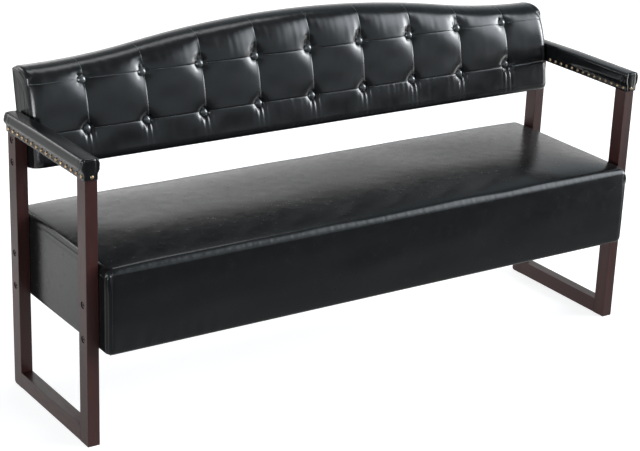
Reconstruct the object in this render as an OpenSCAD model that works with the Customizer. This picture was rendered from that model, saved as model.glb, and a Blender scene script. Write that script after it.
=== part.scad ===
// Tufted waiting bench: an upholstered seat box and a camelback, button-tufted backrest,
// bolted between two rectangular wooden side frames with padded, nail-trimmed arms.
// X runs along the bench, +Y to the back, +Z up. The origin is on the floor, at the middle of
// the side frames' footprint. Left is the -X side.

/* [Bench] */
// Length over the outer faces of the two side frames
bench_length = 1600; // [1300:10:1900]
// Free play between an upholstered end and the wood beside it
end_clearance = 0.3; // [0.2:0.05:0.5]

/* [Side frames] */
// Depth of a side frame, from the front of the front leg to the back of the rear leg
frame_depth = 400; // [380:5:430]
// Thickness of the legs and rails, measured along the bench
leg_thickness = 30; // [28:1:36]
// Width of a leg, seen from the side
leg_width = 40; // [36:1:46]
// Height of the legs, from the floor to the underside of the arm rail
leg_height = 647; // [635:1:665]
// Height of the floor rail
floor_rail_height = 40; // [34:1:50]
// Radius of the rounded heel of the rear leg
heel_radius = 9; // [4:1:14]
// Bevel along the edges of the legs and rails
edge_bevel = 0.8; // [0.4:0.1:1.5]
// Diameter of the dowels between the legs and the floor rail
floor_dowel_diameter = 8; // [6:1:10]
// Diameter of the dowels between the legs and the arm rail
arm_dowel_diameter = 6; // [5:0.5:7]
// Length of a dowel
dowel_length = 40; // [30:1:48]

/* [Arms] */
// Height of the wooden arm rail
arm_rail_height = 35; // [30:1:40]
// Setback of the arm rail from each side of the leg, filled by the cover
arm_rail_setback = 2.5; // [2:0.1:3.5]
// Height of the arm foam along its edges
arm_foam_edge = 6; // [4:0.5:8]
// Extra height of the arm foam in its middle
arm_foam_crown = 4; // [2:0.5:6]
// Thickness of the cover over the arm foam
arm_cover_thickness = 6; // [4:0.5:9]
// How far the arm cover stands out of the leg's outer face
arm_cover_proud = 3.3; // [2:0.1:5]
// How far the arm cover stands out of the frame's front and back
arm_cover_end_proud = 4; // [3:0.5:7]
// Radius of the arm cover's top edges
arm_edge_radius = 9; // [6:0.5:11]
// Drop of the arm cover towards its rear end
arm_rear_drop = 3; // [0:0.5:4]

/* [Arm nails] */
// Diameter of a domed nail head
nail_head_diameter = 9.5; // [7:0.5:11]
// Height of a domed nail head
nail_head_height = 3; // [2:0.5:4]
// Diameter of a nail shank
nail_shank_diameter = 1.8; // [1.2:0.1:2.4]
// Length of a nail shank under its head
nail_shank_length = 10; // [8:0.5:10]
// Height of the nail line above the lower edge of the arm cover
nail_line_height = 8; // [6:0.5:11]
// Number of nails along the outside of an arm
nails_outside = 16; // [12:1:20]
// Number of nails along the inside of an arm, in front of the backrest
nails_inside = 14; // [10:1:16]
// Distance from the frame's end to the first nail
nail_end_margin = 11; // [8:0.5:14]

/* [Seat] */
// How far the seat stands out in front of the side frames
seat_front_overhang = 44; // [30:1:60]
// How far the seat stands out behind the side frames
seat_rear_overhang = 35; // [25:1:50]
// Depth of the seat's top edge below the top of the legs
seat_edge_drop = 200; // [190:1:215]
// Height of the seat's sides, from its underside to its top edge
seat_side_height = 209; // [195:1:220]
// Rise of the seat's crown above its top edge
seat_crown = 13; // [6:1:18]
// Radius of the seat's top edge
seat_top_radius = 18; // [14:1:22]
// Radius of the seat's bottom edge
seat_bottom_radius = 8; // [6:0.5:10]
// Radius of the seat's upright corners
seat_corner_radius = 20; // [16:1:30]
// Swelling of the seat's front and back faces
seat_bulge = 2; // [0:0.5:4]
// Drop of the top edge at the seat's corners
seat_corner_dip = 5; // [0:0.5:7]
// Thickness of the seat cover with its wadding, at the sides
seat_skin = 6; // [5.5:0.5:9]

/* [Seat box] */
// Thickness of the seat box's boards
board_thickness = 18; // [15:1:22]
// Thickness of the plywood deck
deck_thickness = 9; // [6:1:12]
// Thickness of the foam block
seat_foam_thickness = 51; // [44:1:54]
// Thickness of the soft layer on the foam block
seat_topper_thickness = 10; // [6:1:12]
// Thickness of the seat cover with its wadding, over the soft layer at its edge
seat_top_skin = 5; // [4:0.5:8]
// Height of a cross brace
brace_height = 70; // [50:1:90]
// Width of the cover's edge, turned in under the boards
turn_in_width = 22; // [15:1:30]
// Thickness of the turned-in edge
turn_in_thickness = 2; // [1:0.5:3]
// Thickness of the dust cover
dust_cover_thickness = 0.8; // [0.5:0.1:1.5]

/* [Backrest] */
// Backward lean of the backrest, in degrees
back_lean = 10; // [7:0.5:12]
// How far the backrest's lower rear edge lies in front of the frame's back
back_foot_setback = 5.8; // [2:0.2:12]
// Depth of the backrest's lower rear edge below the top of the legs
back_foot_drop = 89; // [86:1:92]
// Height of the backrest's shoulders along its lean
back_shoulder_height = 237; // [230:1:250]
// Rise of the hump above the shoulders
back_hump_rise = 59; // [30:1:80]
// Thickness of the backrest
back_thickness = 92; // [88:1:100]
// Swelling of the leather between the seams
back_puff = 3; // [1:0.5:5]
// Depth of the rounding over the top front edge
back_top_round = 120; // [100:5:130]
// Radius of the backrest's bottom front edge
back_bottom_radius = 18; // [14:1:22]
// Radius of the backrest's upright front edges
back_end_radius = 12; // [8:1:16]
// Radius of the backrest's rear edges
back_rear_radius = 5; // [3:0.5:6]
// Thickness of the back cover over the frame's edges
back_skin = 6; // [6:0.5:8]

/* [Tufting] */
// Number of buttons in a row
button_columns = 9; // [7:2:9]
// Distance from the backrest's end to the first button column
button_end_margin = 141.9; // [120:0.1:150]
// Height of the lower button row along the backrest
lower_row_height = 79; // [72:1:90]
// Depth of the upper button row below the backrest's shoulders
upper_row_drop = 41; // [34:1:48]
// Thickness of the leather and wadding left at the bottom of a button's pit
pit_skin = 3; // [2.5:0.5:8]
// Depth of a stitched seam
seam_depth = 5; // [2:0.5:7]
// Diameter of a covered button
button_diameter = 21; // [18:0.5:24]
// Height of a button's dome
button_height = 7; // [5:0.5:9]

/* [Back frame] */
// Depth of the back frame's rails and stiles
back_frame_depth = 34; // [33.5:0.5:35]
// Height of the back frame's bottom rail
back_bottom_rail_height = 45; // [35:1:55]
// Height of the back frame's top rail
back_top_rail_height = 24; // [18:1:24]
// Width of an end stile
stile_width = 40; // [34:1:50]
// Width of an upright
upright_width = 40; // [30:1:60]
// Thickness of the plywood panel
back_panel_thickness = 8; // [6:0.5:9]
// Thickness of the quilted cover over the foam slab
back_quilt_thickness = 22; // [20:1:30]
// Thickness of the outside back
rear_panel_thickness = 1.5; // [1:0.5:3]

/* [Bolts] */
// Diameter of a bolt
bolt_diameter = 8; // [6:0.5:8]
// Length of a bolt under its head
bolt_length = 40; // [36:1:44]
// Diameter of a bolt's head
bolt_head_diameter = 13; // [11:0.5:13.5]
// Height of a bolt's head
bolt_head_height = 8; // [6:0.5:9]
// Depth of the counterbore in the leg
counterbore_depth = 10; // [9:0.5:12]
// Height of the seat's upper bolts above its underside
seat_upper_bolt_rise = 110; // [90:1:112]
// Height of the seat's lower bolts above its underside
seat_lower_bolt_rise = 26; // [22:1:40]
// Depth of the backrest's lower bolts below the top of the legs
back_lower_bolt_drop = 71; // [67:1:75]
// Depth of the backrest's upper bolts below the top of the legs
back_upper_bolt_drop = 17; // [15:1:21]
// Outer diameter of a threaded insert
insert_diameter = 12; // [10.5:0.5:12]
// Length of a threaded insert
insert_length = 15; // [12:0.5:15]

/* [Hidden] */
$fn = 48;
overrun = 1;
dowel_play = 0.05;
dowel_hole_play = 0.5;
floor_dowel_shares = [0.3, 0.7];
arm_dowel_spacing = 18;
bolt_hole_play = 0.2;
counterbore_play = 0.5;
socket_width = 6;
socket_depth = 4;
insert_play = 0.05;
nail_play = 0.05;
nail_gap_to_back = 7;
brace_shares = [-0.5, 0, 0.5];
block_size = 40;
topper_inset = 20;
seat_ridge_inset = 170;
dust_cover_inset = 10;
hump_half_share = 0.98;
inflection_share = 0.61;
back_turn_in_width = 20;
rear_panel_inset = 12;
foam_top_inset = 28;
pit_radius = 26;
seam_reach = 9;
button_neck_radius = 2.5;
button_neck_play = 1;
button_seat_gap = 3;
twine_diameter = 2;
twine_play = 0.3;
twine_disc_radius = 5;
twine_disc_height = 2;
upright_pitches = 1.5;
corner_steps = 8;
camel_steps = 24;

frame_left = -bench_length / 2;
inner_face = frame_left + leg_thickness;
leg_middle_x = frame_left + leg_thickness / 2;
leg_middle_y = (frame_depth - leg_width) / 2;
rail_span = frame_depth - 2 * leg_width;
cushion_half = bench_length / 2 - leg_thickness - end_clearance;

arm_rail_width = leg_thickness - 2 * arm_rail_setback;
arm_rail_top = leg_height + arm_rail_height;
arm_cover_left = frame_left - arm_cover_proud;
arm_cover_right = inner_face - end_clearance;
arm_cover_top = arm_rail_top + arm_foam_edge + arm_cover_thickness;
arm_cover_end = frame_depth / 2 + arm_cover_end_proud;
nail_line = leg_height + nail_line_height;

seat_edge_height = leg_height - seat_edge_drop;
seat_bottom = seat_edge_height - seat_side_height;
seat_upper_bolt_height = seat_bottom + seat_upper_bolt_rise;
seat_lower_bolt_height = seat_bottom + seat_lower_bolt_rise;
seat_front = -frame_depth / 2 - seat_front_overhang;
seat_rear = frame_depth / 2 + seat_rear_overhang;
seat_middle_y = (seat_front + seat_rear) / 2;
board_half = cushion_half - seat_skin;
board_corner_setback = seat_corner_radius - seat_skin;
board_front = seat_front + seat_skin;
board_rear = seat_rear - seat_skin;
board_bottom = seat_bottom + turn_in_thickness;
topper_bottom = seat_edge_height - seat_top_skin - seat_topper_thickness;
foam_bottom = topper_bottom - seat_foam_thickness;
deck_bottom = foam_bottom - deck_thickness;
seat_board_height = deck_bottom - board_bottom;

back_foot_y = frame_depth / 2 - back_foot_setback;
back_foot_height = leg_height - back_foot_drop;
back_lower_bolt_height = leg_height - back_lower_bolt_drop;
back_upper_bolt_height = leg_height - back_upper_bolt_drop;
back_frame_rear = turn_in_thickness;
back_panel_rear = back_frame_rear + back_frame_depth;
back_foam_rear = back_panel_rear + back_panel_thickness;
back_foam_front = back_thickness - back_quilt_thickness;
hump_half = cushion_half * hump_half_share;
inflection = hump_half * inflection_share;
stile_inner = board_back_half() - stile_width;
last_column = (button_columns - 1) / 2;
button_pitch = (cushion_half - button_end_margin) / last_column;
upper_row_height = back_shoulder_height - upper_row_drop;
row_heights = [lower_row_height, upper_row_height];
pit_level = back_foam_front + pit_skin;
button_base = pit_level + button_seat_gap;

// The value at a share of the way from a to b
function mix(a, b, share) = a + (b - a) * share;

// A share held between 0 and 1 and eased at both ends
function eased_share(share) = let (s = min(max(share, 0), 1)) s * s * (3 - 2 * s);

function board_back_half() = cushion_half - back_skin;

// Side faces of a solid made of closed rings of n points
function side_faces(rings, n) = [
    for (j = [0:rings - 2], i = [0:n - 1]) let (
        a = j * n + i,
        b = j * n + (i + 1) % n
    ) each [[a, b + n, b], [a, a + n, b + n]]
];

// The same with a flat cap over the first and the last ring
function capped_faces(rings, n) = concat(
    [[for (i = [0:n - 1]) i]],
    side_faces(rings, n),
    [[for (i = [n - 1:-1:0]) (rings - 1) * n + i]]
);

// The same with a fan from each end ring to a middle point, given after the rings' own points
function fanned_faces(rings, n) = let (last = (rings - 1) * n, low = rings * n, high = low + 1) concat(
    [for (i = [0:n - 1]) [low, i, (i + 1) % n]],
    side_faces(rings, n),
    [for (i = [0:n - 1]) [high, last + (i + 1) % n, last + i]]
);

// Corner arc of an outline, from angle a0 to a1 in equal steps
function arc_points(x, y, r, a0, a1, steps) =
    [for (i = [0:steps]) let (a = mix(a0, a1, i / steps)) [x + r * cos(a), y + r * sin(a)]];

// Points between two outline points, both ends left out
function side_points(p, q, steps) =
    [for (i = [1:steps - 1]) [mix(p[0], q[0], i / steps), mix(p[1], q[1], i / steps)]];

// Rounded rectangle, anticlockwise, with its sides split into equal steps
function rounded_outline(hx, y0, y1, r, corner = corner_steps, long = 1, short = 1) = concat(
    arc_points(-hx + r, y0 + r, r, 180, 270, corner),
    side_points([-hx + r, y0], [hx - r, y0], long),
    arc_points(hx - r, y0 + r, r, 270, 360, corner),
    side_points([hx, y0 + r], [hx, y1 - r], short),
    arc_points(hx - r, y1 - r, r, 0, 90, corner),
    side_points([hx - r, y1], [-hx + r, y1], long),
    arc_points(-hx + r, y1 - r, r, 90, 180, corner),
    side_points([-hx, y1 - r], [-hx, y0 + r], short)
);

// Builds its children on the left, or mirrored on the right
module on_side(right) {
    if (right) mirror([1, 0, 0]) children();
    else children();
}

// Rectangle from the origin with bevelled corners
module bevelled(w, d) {
    b = edge_bevel;
    polygon([[b, 0], [w - b, 0], [w, b], [w, d - b], [w - b, d], [b, d], [0, d - b], [0, b]]);
}

// Bar along Y: a bevelled section w wide and h high
module bar_along_y(w, h, length) {
    translate([0, length, 0]) rotate([90, 0, 0]) linear_extrude(length) bevelled(w, h);
}

// Cylinder along X from the origin
module rod_x(length, r) {
    rotate([0, 90, 0]) cylinder(h = length, r = r);
}

// Side frames

// The two heights of the floor rail's dowels, and the four joints they cross
module floor_dowel_rods(r, length) {
    for (s = [-1, 1], share = floor_dowel_shares)
        translate([leg_middle_x, s * rail_span / 2, floor_rail_height * share])
            rotate([90, 0, 0]) cylinder(h = length, r = r, center = true);
}

module arm_dowel_rods(r, length) {
    for (s = [-1, 1], t = [-1, 1])
        translate([leg_middle_x, s * leg_middle_y + t * arm_dowel_spacing / 2, leg_height])
            cylinder(h = length, r = r, center = true);
}

module dowel_holes() {
    floor_dowel_rods(floor_dowel_diameter / 2 + dowel_play, dowel_length + 2 * dowel_hole_play);
    arm_dowel_rods(arm_dowel_diameter / 2 + dowel_play, dowel_length + 2 * dowel_hole_play);
}

module frame_dowels(right) {
    color("burlywood") on_side(right) {
        floor_dowel_rods(floor_dowel_diameter / 2, dowel_length);
        arm_dowel_rods(arm_dowel_diameter / 2, dowel_length);
    }
}

// Stepped hole for a bolt through a leg, from its outer face
module leg_bolt_hole(y, z) {
    translate([frame_left - overrun, y, z]) {
        rod_x(leg_thickness + 2 * overrun, bolt_diameter / 2 + bolt_hole_play);
        rod_x(counterbore_depth + overrun, bolt_head_diameter / 2 + counterbore_play);
    }
}

module seat_bolt_places(side) {
    for (z = [seat_lower_bolt_height, seat_upper_bolt_height])
        translate([0, side * leg_middle_y, z]) children();
}

module back_bolt_places() {
    for (z = [back_lower_bolt_height, back_upper_bolt_height]) translate([0, leg_middle_y, z]) children();
}

module front_leg(right) {
    color("#4a2c28") on_side(right) difference() {
        translate([frame_left, -frame_depth / 2, 0]) linear_extrude(leg_height)
            bevelled(leg_thickness, leg_width);
        dowel_holes();
        seat_bolt_places(-1) leg_bolt_hole(0, 0);
    }
}

// What a square heel has beyond the rounded one
module heel_waste() {
    translate([frame_left - overrun, frame_depth / 2 - heel_radius, 0]) difference() {
        translate([0, 0, -overrun])
            cube([leg_thickness + 2 * overrun, heel_radius + overrun, heel_radius + overrun]);
        translate([-overrun, 0, heel_radius]) rod_x(leg_thickness + 4 * overrun, heel_radius);
    }
}

module rear_leg(right) {
    color("#4a2c28") on_side(right) difference() {
        translate([frame_left, frame_depth / 2 - leg_width, 0]) linear_extrude(leg_height)
            bevelled(leg_thickness, leg_width);
        heel_waste();
        dowel_holes();
        seat_bolt_places(1) leg_bolt_hole(0, 0);
        back_bolt_places() leg_bolt_hole(0, 0);
    }
}

module floor_rail(right) {
    color("#4f312c") on_side(right) difference() {
        translate([frame_left, -rail_span / 2, 0]) bar_along_y(leg_thickness, floor_rail_height, rail_span);
        dowel_holes();
    }
}

// Arms

module arm_rail(right) {
    color("#5a3a30") on_side(right) difference() {
        translate([frame_left + arm_rail_setback, -frame_depth / 2, leg_height])
            bar_along_y(arm_rail_width, arm_rail_height, frame_depth);
        dowel_holes();
        arm_nail_shanks(nail_shank_diameter / 2 + nail_play, nail_shank_length + nail_play);
    }
}

// Bar under the arm cover, flat below and arched above, reaching down from the rail's top by a depth
module arm_core(depth) {
    half = arm_rail_width / 2;
    steps = 8;
    arch = [for (i = [0:steps]) let (u = mix(-1, 1, i / steps))
        [half * u, arm_foam_edge + arm_foam_crown * (1 - u * u)]];
    translate([leg_middle_x, frame_depth / 2, arm_rail_top]) rotate([90, 0, 0])
        linear_extrude(frame_depth) polygon(concat([[-half, -depth]], arch, [[half, -depth]]));
}

module arm_foam(right) {
    color("khaki") on_side(right) arm_core(0);
}

// Section of the arm cover: straight sides, a quarter round at each top edge, a low crown between
function arm_cover_section(left, right, top) = let (
    r = arm_edge_radius,
    steps = 3,
    middle = (left + right) / 2,
    half = (right - left) / 2
) concat(
    [[left, leg_height]],
    [for (i = [0:steps]) let (a = 90 * i / steps) [left + r * (1 - cos(a)), top - r * (1 - sin(a))]],
    [for (u = [-0.35, 0, 0.35]) [middle + half * u, top + arm_foam_crown * (1 - u * u) / 2]],
    [for (i = [steps:-1:0]) let (a = 90 * i / steps) [right - r * (1 - cos(a)), top - r * (1 - sin(a))]],
    [[right, leg_height]]
);

// Rings of the cover along the arm: [share of the length, share of the end rounding]
arm_ring_shares = [
    [0, 1], [0.008, 0.4], [0.025, 0.1], [0.05, 0], [0.25, 0], [0.5, 0],
    [0.7, 0], [0.85, 0], [0.95, 0], [0.975, 0.1], [0.992, 0.4], [1, 1]
];

module arm_cover_form() {
    rings = [for (ring = arm_ring_shares) let (
        y = mix(-arm_cover_end, arm_cover_end, ring[0]),
        drop = arm_edge_radius * ring[1] + arm_rear_drop * eased_share((ring[0] - 0.6) / 0.4),
        draw_in = arm_cover_proud * ring[1] / 2,
        section = arm_cover_section(arm_cover_left + draw_in, arm_cover_right, arm_cover_top - drop)
    ) [for (p = section) [p[0], y, p[1]]]];
    points = [for (ring = rings, p = ring) p];
    polyhedron(points, capped_faces(len(rings), len(rings[0])), convexity = 4);
}

module arm_cover(right) {
    color("#222426") on_side(right) difference() {
        arm_cover_form();
        arm_core(arm_rail_height + overrun);
        arm_nail_shanks(nail_shank_diameter / 2 + nail_play, nail_shank_length + nail_play);
    }
}

// Y of the backrest's front plane at a height
function back_front_at(z) = back_foot_y - back_thickness * cos(back_lean)
    + (z - back_foot_height - back_thickness * sin(back_lean)) * tan(back_lean);

nails_first = -frame_depth / 2 + nail_end_margin;
nails_last_outside = frame_depth / 2 - nail_end_margin;
nails_last_inside = back_front_at(nail_line) - nail_gap_to_back;

// Puts its children at each nail, with the nail's head facing +Z
module arm_nail_places() {
    for (i = [0:nails_outside - 1])
        translate([arm_cover_left, mix(nails_first, nails_last_outside, i / (nails_outside - 1)), nail_line])
            rotate([0, -90, 0]) children();
    for (i = [0:nails_inside - 1])
        translate([arm_cover_right, mix(nails_first, nails_last_inside, i / (nails_inside - 1)), nail_line])
            rotate([0, 90, 0]) children();
    for (s = [-1, 1])
        translate([leg_middle_x, s * arm_cover_end, nail_line]) rotate([-90 * s, 0, 0]) children();
}

module arm_nail_shanks(r, length) {
    arm_nail_places() translate([0, 0, -length]) cylinder(h = length + overrun, r = r, $fn = 16);
}

// Domed head on a round shank
module arm_nail() {
    head = nail_head_diameter / 2;
    ball = (head * head + nail_head_height * nail_head_height) / (2 * nail_head_height);
    translate([0, 0, -nail_shank_length])
        cylinder(h = nail_shank_length + overrun, r = nail_shank_diameter / 2, $fn = 16);
    intersection() {
        translate([0, 0, nail_head_height - ball]) sphere(r = ball, $fn = 24);
        cylinder(h = nail_head_height + overrun, r = head + overrun);
    }
}

module arm_nails(right) {
    color("#b08d4a") on_side(right) arm_nail_places() arm_nail();
}

// Seat box

// Boards' holes for the threaded inserts, from the box's end face
module seat_insert_holes() {
    for (s = [-1, 1]) seat_bolt_places(s) translate([-board_half - overrun, 0, 0])
        rod_x(insert_length + overrun, insert_diameter / 2 + insert_play);
}

module seat_long_board(y) {
    half = board_half - board_corner_setback;
    color("tan") translate([-half, y, board_bottom]) cube([2 * half, board_thickness, seat_board_height]);
}

module seat_end_board(right) {
    front = board_front + board_corner_setback;
    rear = board_rear - board_corner_setback;
    color("tan") on_side(right) difference() {
        translate([-board_half, front, board_bottom])
            cube([board_thickness, rear - front, seat_board_height]);
        seat_insert_holes();
    }
}

module seat_cross_braces() {
    front = board_front + board_thickness;
    rear = board_rear - board_thickness;
    color("burlywood") for (share = brace_shares)
        translate([share * board_half - board_thickness / 2, front, deck_bottom - brace_height])
            cube([board_thickness, rear - front, brace_height]);
}

// Blocks glued into the corners, each against an end board and a long board
module seat_corner_blocks() {
    left = -board_half + board_thickness;
    front = board_front + board_thickness;
    rear = board_rear - board_thickness - block_size;
    color("burlywood") for (right = [false, true], y = [front, rear]) on_side(right)
        translate([left, y, board_bottom]) cube([block_size, block_size, seat_board_height]);
}

module seat_slab(inset, thickness) {
    linear_extrude(thickness) polygon(rounded_outline(
        cushion_half - inset, seat_front + inset, seat_rear - inset, max(seat_corner_radius - inset, inset)));
}

module seat_deck() {
    color("tan") translate([0, 0, deck_bottom]) seat_slab(seat_skin, deck_thickness);
}

module seat_foam() {
    color("khaki") translate([0, 0, foam_bottom]) seat_slab(seat_skin, seat_foam_thickness);
}

module seat_topper() {
    color("lightyellow") translate([0, 0, topper_bottom]) seat_slab(topper_inset, seat_topper_thickness);
}

module seat_dust_cover() {
    color("dimgray") translate([0, 0, seat_bottom - dust_cover_thickness])
        seat_slab(dust_cover_inset, dust_cover_thickness);
}

// Rings of the seat cover: [inset at the ends, inset at front and back, height, crown share]
seat_side_shares = [0.35, 0.7];
seat_crown_shares = [0.12, 0.35, 0.68, 1];
seat_corner_segments = 4;
seat_long_segments = 12;
seat_short_segments = 5;

function seat_rings() = let (
    rb = seat_bottom_radius,
    rt = seat_top_radius,
    low = seat_bottom + rb,
    high = seat_edge_height - rt
) concat(
    [for (a = [0:45:90]) [rb * (1 - sin(a)), rb * (1 - sin(a)), seat_bottom + rb * (1 - cos(a)), 0]],
    [for (s = seat_side_shares) [0, -seat_bulge * 4 * s * (1 - s), mix(low, high, s), 0]],
    [for (a = [0:22.5:90]) [rt * (1 - cos(a)), rt * (1 - cos(a)), high + rt * sin(a), sin(a)]],
    [for (s = seat_crown_shares) let (inset = mix(rt, seat_ridge_inset, s))
        [inset, inset, seat_edge_height + seat_crown * sin(90 * s), 1 - s]]
);

// The top edge dips towards the corners of the seat
function corner_dip(x, y, share) = seat_corner_dip * share
    * pow(abs(x) / cushion_half, 8) * pow(abs(y - seat_middle_y) / (seat_rear - seat_middle_y), 8);

module seat_cover_form() {
    rings = [for (ring = seat_rings()) let (
        r = seat_corner_radius * (1 - 0.8 * max(ring[0], 0) / seat_ridge_inset),
        outline = rounded_outline(cushion_half - ring[0], seat_front + ring[1], seat_rear - ring[1], r,
            seat_corner_segments, seat_long_segments, seat_short_segments)
    ) [for (p = outline) [p[0], p[1], ring[2] - corner_dip(p[0], p[1], ring[3])]]];
    middles = [for (z = [seat_bottom, seat_edge_height + seat_crown]) [0, seat_middle_y, z]];
    points = concat([for (ring = rings, p = ring) p], middles);
    polyhedron(points, fanned_faces(len(rings), len(rings[0])), convexity = 4);
}

module seat_cover() {
    color("#1d1f21") difference() {
        seat_cover_form();
        translate([0, 0, seat_bottom - overrun])
            seat_slab(seat_skin + turn_in_width, turn_in_thickness + 2 * overrun);
        translate([0, 0, board_bottom]) seat_slab(seat_skin, topper_bottom - board_bottom);
        translate([0, 0, topper_bottom - overrun]) seat_slab(topper_inset, seat_topper_thickness + overrun);
        for (right = [false, true], s = [-1, 1]) on_side(right) seat_bolt_places(s)
            translate([-cushion_half - overrun, 0, 0])
                rod_x(seat_skin + 2 * overrun, bolt_diameter / 2 + bolt_hole_play);
    }
}

// Backrest, in its own leaning place: X along the bench, Z up the lean, depth forwards as -Y

module back_place() {
    translate([0, back_foot_y, back_foot_height]) rotate([-back_lean, 0, 0]) children();
}

// Height of the top edge at x: a parabola over the middle, a counter curve down to the shoulders
function camelback(x) = let (
    ax = abs(x),
    bend = back_hump_rise / (inflection * hump_half),
    counter = bend * inflection / (hump_half - inflection)
) back_shoulder_height + (
    ax <= inflection ? back_hump_rise - bend * ax * ax
    : ax < hump_half ? counter * pow(hump_half - ax, 2)
    : 0
);

// Points along the top edge, lowered by drop, from x0 to x1
function camel_points(x0, x1, drop, steps) =
    [for (i = [0:steps]) let (x = mix(x0, x1, i / steps)) [x, camelback(x) - drop]];

// Slab with the camelback outline, from depth rear to depth front
module camel_slab(half, low, drop, rear, front) {
    translate([0, -rear, 0]) rotate([90, 0, 0]) linear_extrude(front - rear)
        polygon(concat([[-half, low], [half, low]], camel_points(half, -half, drop, camel_steps)));
}

module back_bottom_rail() {
    color("tan") back_place() translate([-stile_inner, -back_panel_rear, back_skin])
        cube([2 * stile_inner, back_frame_depth, back_bottom_rail_height]);
}

module back_top_rail() {
    drop = back_skin + back_top_rail_height;
    color("tan") back_place() translate([0, -back_frame_rear, 0]) rotate([90, 0, 0])
        linear_extrude(back_frame_depth) polygon(concat(
            camel_points(-stile_inner, stile_inner, drop, camel_steps),
            camel_points(stile_inner, -stile_inner, back_skin, camel_steps)
        ));
}

module back_stile(right) {
    top = camelback(board_back_half()) - back_skin;
    color("tan") on_side(right) difference() {
        back_place() translate([-board_back_half(), -back_panel_rear, back_skin])
            cube([stile_width, back_frame_depth, top - back_skin]);
        back_bolt_places() translate([-board_back_half() - overrun, 0, 0])
            rod_x(insert_length + overrun, insert_diameter / 2 + insert_play);
    }
}

// Uprights between the rails, their heads cut to the top rail's curve
module back_uprights() {
    x = button_pitch * upright_pitches;
    foot = back_skin + back_bottom_rail_height;
    drop = back_skin + back_top_rail_height;
    color("tan") back_place() for (s = [-1, 1]) {
        x0 = s * x - upright_width / 2;
        x1 = s * x + upright_width / 2;
        translate([0, -back_frame_rear, 0]) rotate([90, 0, 0]) linear_extrude(back_frame_depth)
            polygon(concat([[x0, foot], [x1, foot]], camel_points(x1, x0, drop, 4)));
    }
}

// Puts its children on each button's axis, at the rear plane, facing forwards along +Z
module button_places() {
    back_place() for (column = [-last_column:last_column], z = row_heights)
        translate([column * button_pitch, 0, z]) rotate([90, 0, 0]) children();
}

module twine_holes(rear, front) {
    button_places() translate([0, 0, rear - overrun])
        cylinder(h = front - rear + 2 * overrun, r = twine_diameter / 2 + twine_play, $fn = 16);
}

module back_panel() {
    color("wheat") difference() {
        back_place() camel_slab(board_back_half(), back_skin, back_skin, back_panel_rear, back_foam_rear);
        twine_holes(back_panel_rear, back_foam_rear);
    }
}

module back_foam_slab(extra = 0) {
    camel_slab(board_back_half(), back_skin, foam_top_inset, back_foam_rear - extra, back_foam_front);
}

module back_foam() {
    color("khaki") difference() {
        back_place() back_foam_slab();
        twine_holes(back_foam_rear, back_foam_front);
    }
}

module back_rear_panel() {
    inset = rear_panel_inset;
    color("#1d1f21") back_place() camel_slab(cushion_half - inset, inset, inset, -rear_panel_thickness, 0);
}

// Depth of the smooth front at a distance under the top edge: a superellipse over the top
function front_depth(under) = let (u = 1 - min(under / back_top_round, 1))
    back_thickness * pow(max(1 - u * u * u, 0), 1 / 3);

// Distance from x to the nearest button column
function column_offset(x) = let (c = min(max(round(x / button_pitch), -last_column), last_column))
    abs(x - c * button_pitch);

// How deep a button pulls the leather in, as a share, at offsets along X and Z
function pit_share(dx, dz) = exp(-pow((dx * dx + dz * dz) / (pit_radius * pit_radius), 3));

// Depth of the tufted front at x and height z
function tufted_depth(x, z) = let (
    top = camelback(x),
    smooth_front = front_depth(top - z),
    dx = column_offset(x),
    below = eased_share((z - lower_row_height / 3) / lower_row_height),
    swell = back_puff * (1 - exp(-pow(dx / (button_pitch / 5), 2))) * below,
    column_seam = seam_depth * exp(-pow(dx / seam_reach, 2)) * below,
    row_seam = max([for (row = row_heights) seam_depth * exp(-pow((z - row) / seam_reach, 2))]),
    pull = max([for (row = row_heights) pit_share(dx, z - row)])
) mix(smooth_front + swell - max(column_seam, row_seam), min(pit_level, smooth_front), pull);

// Heights of the front's grid lines, as shares above the upper row and steps beside the rows
top_row_shares = [0.08, 0.3, 0.62, 1];
row_step = 14;
cell_step_share = 0.33;
low_line_share = 0.52;

function back_lines(x) = let (
    top = camelback(x),
    upper_line = upper_row_height + row_step,
    cell = upper_row_height - lower_row_height
) concat(
    [for (s = top_row_shares) mix(top, upper_line, s)],
    [upper_row_height, upper_row_height - row_step, upper_row_height - cell * cell_step_share,
        lower_row_height + cell * cell_step_share, lower_row_height + row_step, lower_row_height,
        lower_row_height - row_step, lower_row_height * low_line_share]
);

// Ring of the back cover at x: over the top, down the front, along the bottom; draw_in rounds the ends
function back_ring(x, draw_in) = let (
    rr = back_rear_radius,
    rb = back_bottom_radius,
    t = back_thickness - draw_in,
    top = camelback(x) - draw_in / 4,
    low = draw_in / 4,
    a = 45
) concat(
    [[0, top - rr], [rr, top]],
    [for (z = back_lines(x)) [tufted_depth(x, z) - draw_in, min(z, top)]],
    [[t, low + rb], [t - rb * (1 - cos(a)), low + rb * (1 - sin(a))], [t - rb, low]],
    [[rr, low], [0, low + rr]]
);

// Columns of the grid: five to a bay between buttons, then out to the rounded ends
bay_shares = [0, 0.1, 0.34, 0.66, 0.9];
end_bay_shares = [0.1, 0.34, 0.66];
end_round_shares = [1, 0.35, 0];

function half_columns() = let (last = last_column * button_pitch) concat(
    [for (bay = [0:last_column - 1], s = bay_shares) [(bay + s) * button_pitch, 0]],
    [[last, 0]],
    [for (s = end_bay_shares) [mix(last, cushion_half, s), 0]],
    [for (s = end_round_shares) let (r = back_end_radius) [cushion_half - r * s, r * (1 - sqrt(s * (2 - s)))]]
);

function back_columns() = let (half = half_columns(), n = len(half)) concat(
    [for (i = [n - 1:-1:1]) [-half[i][0], half[i][1]]],
    half
);

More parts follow.
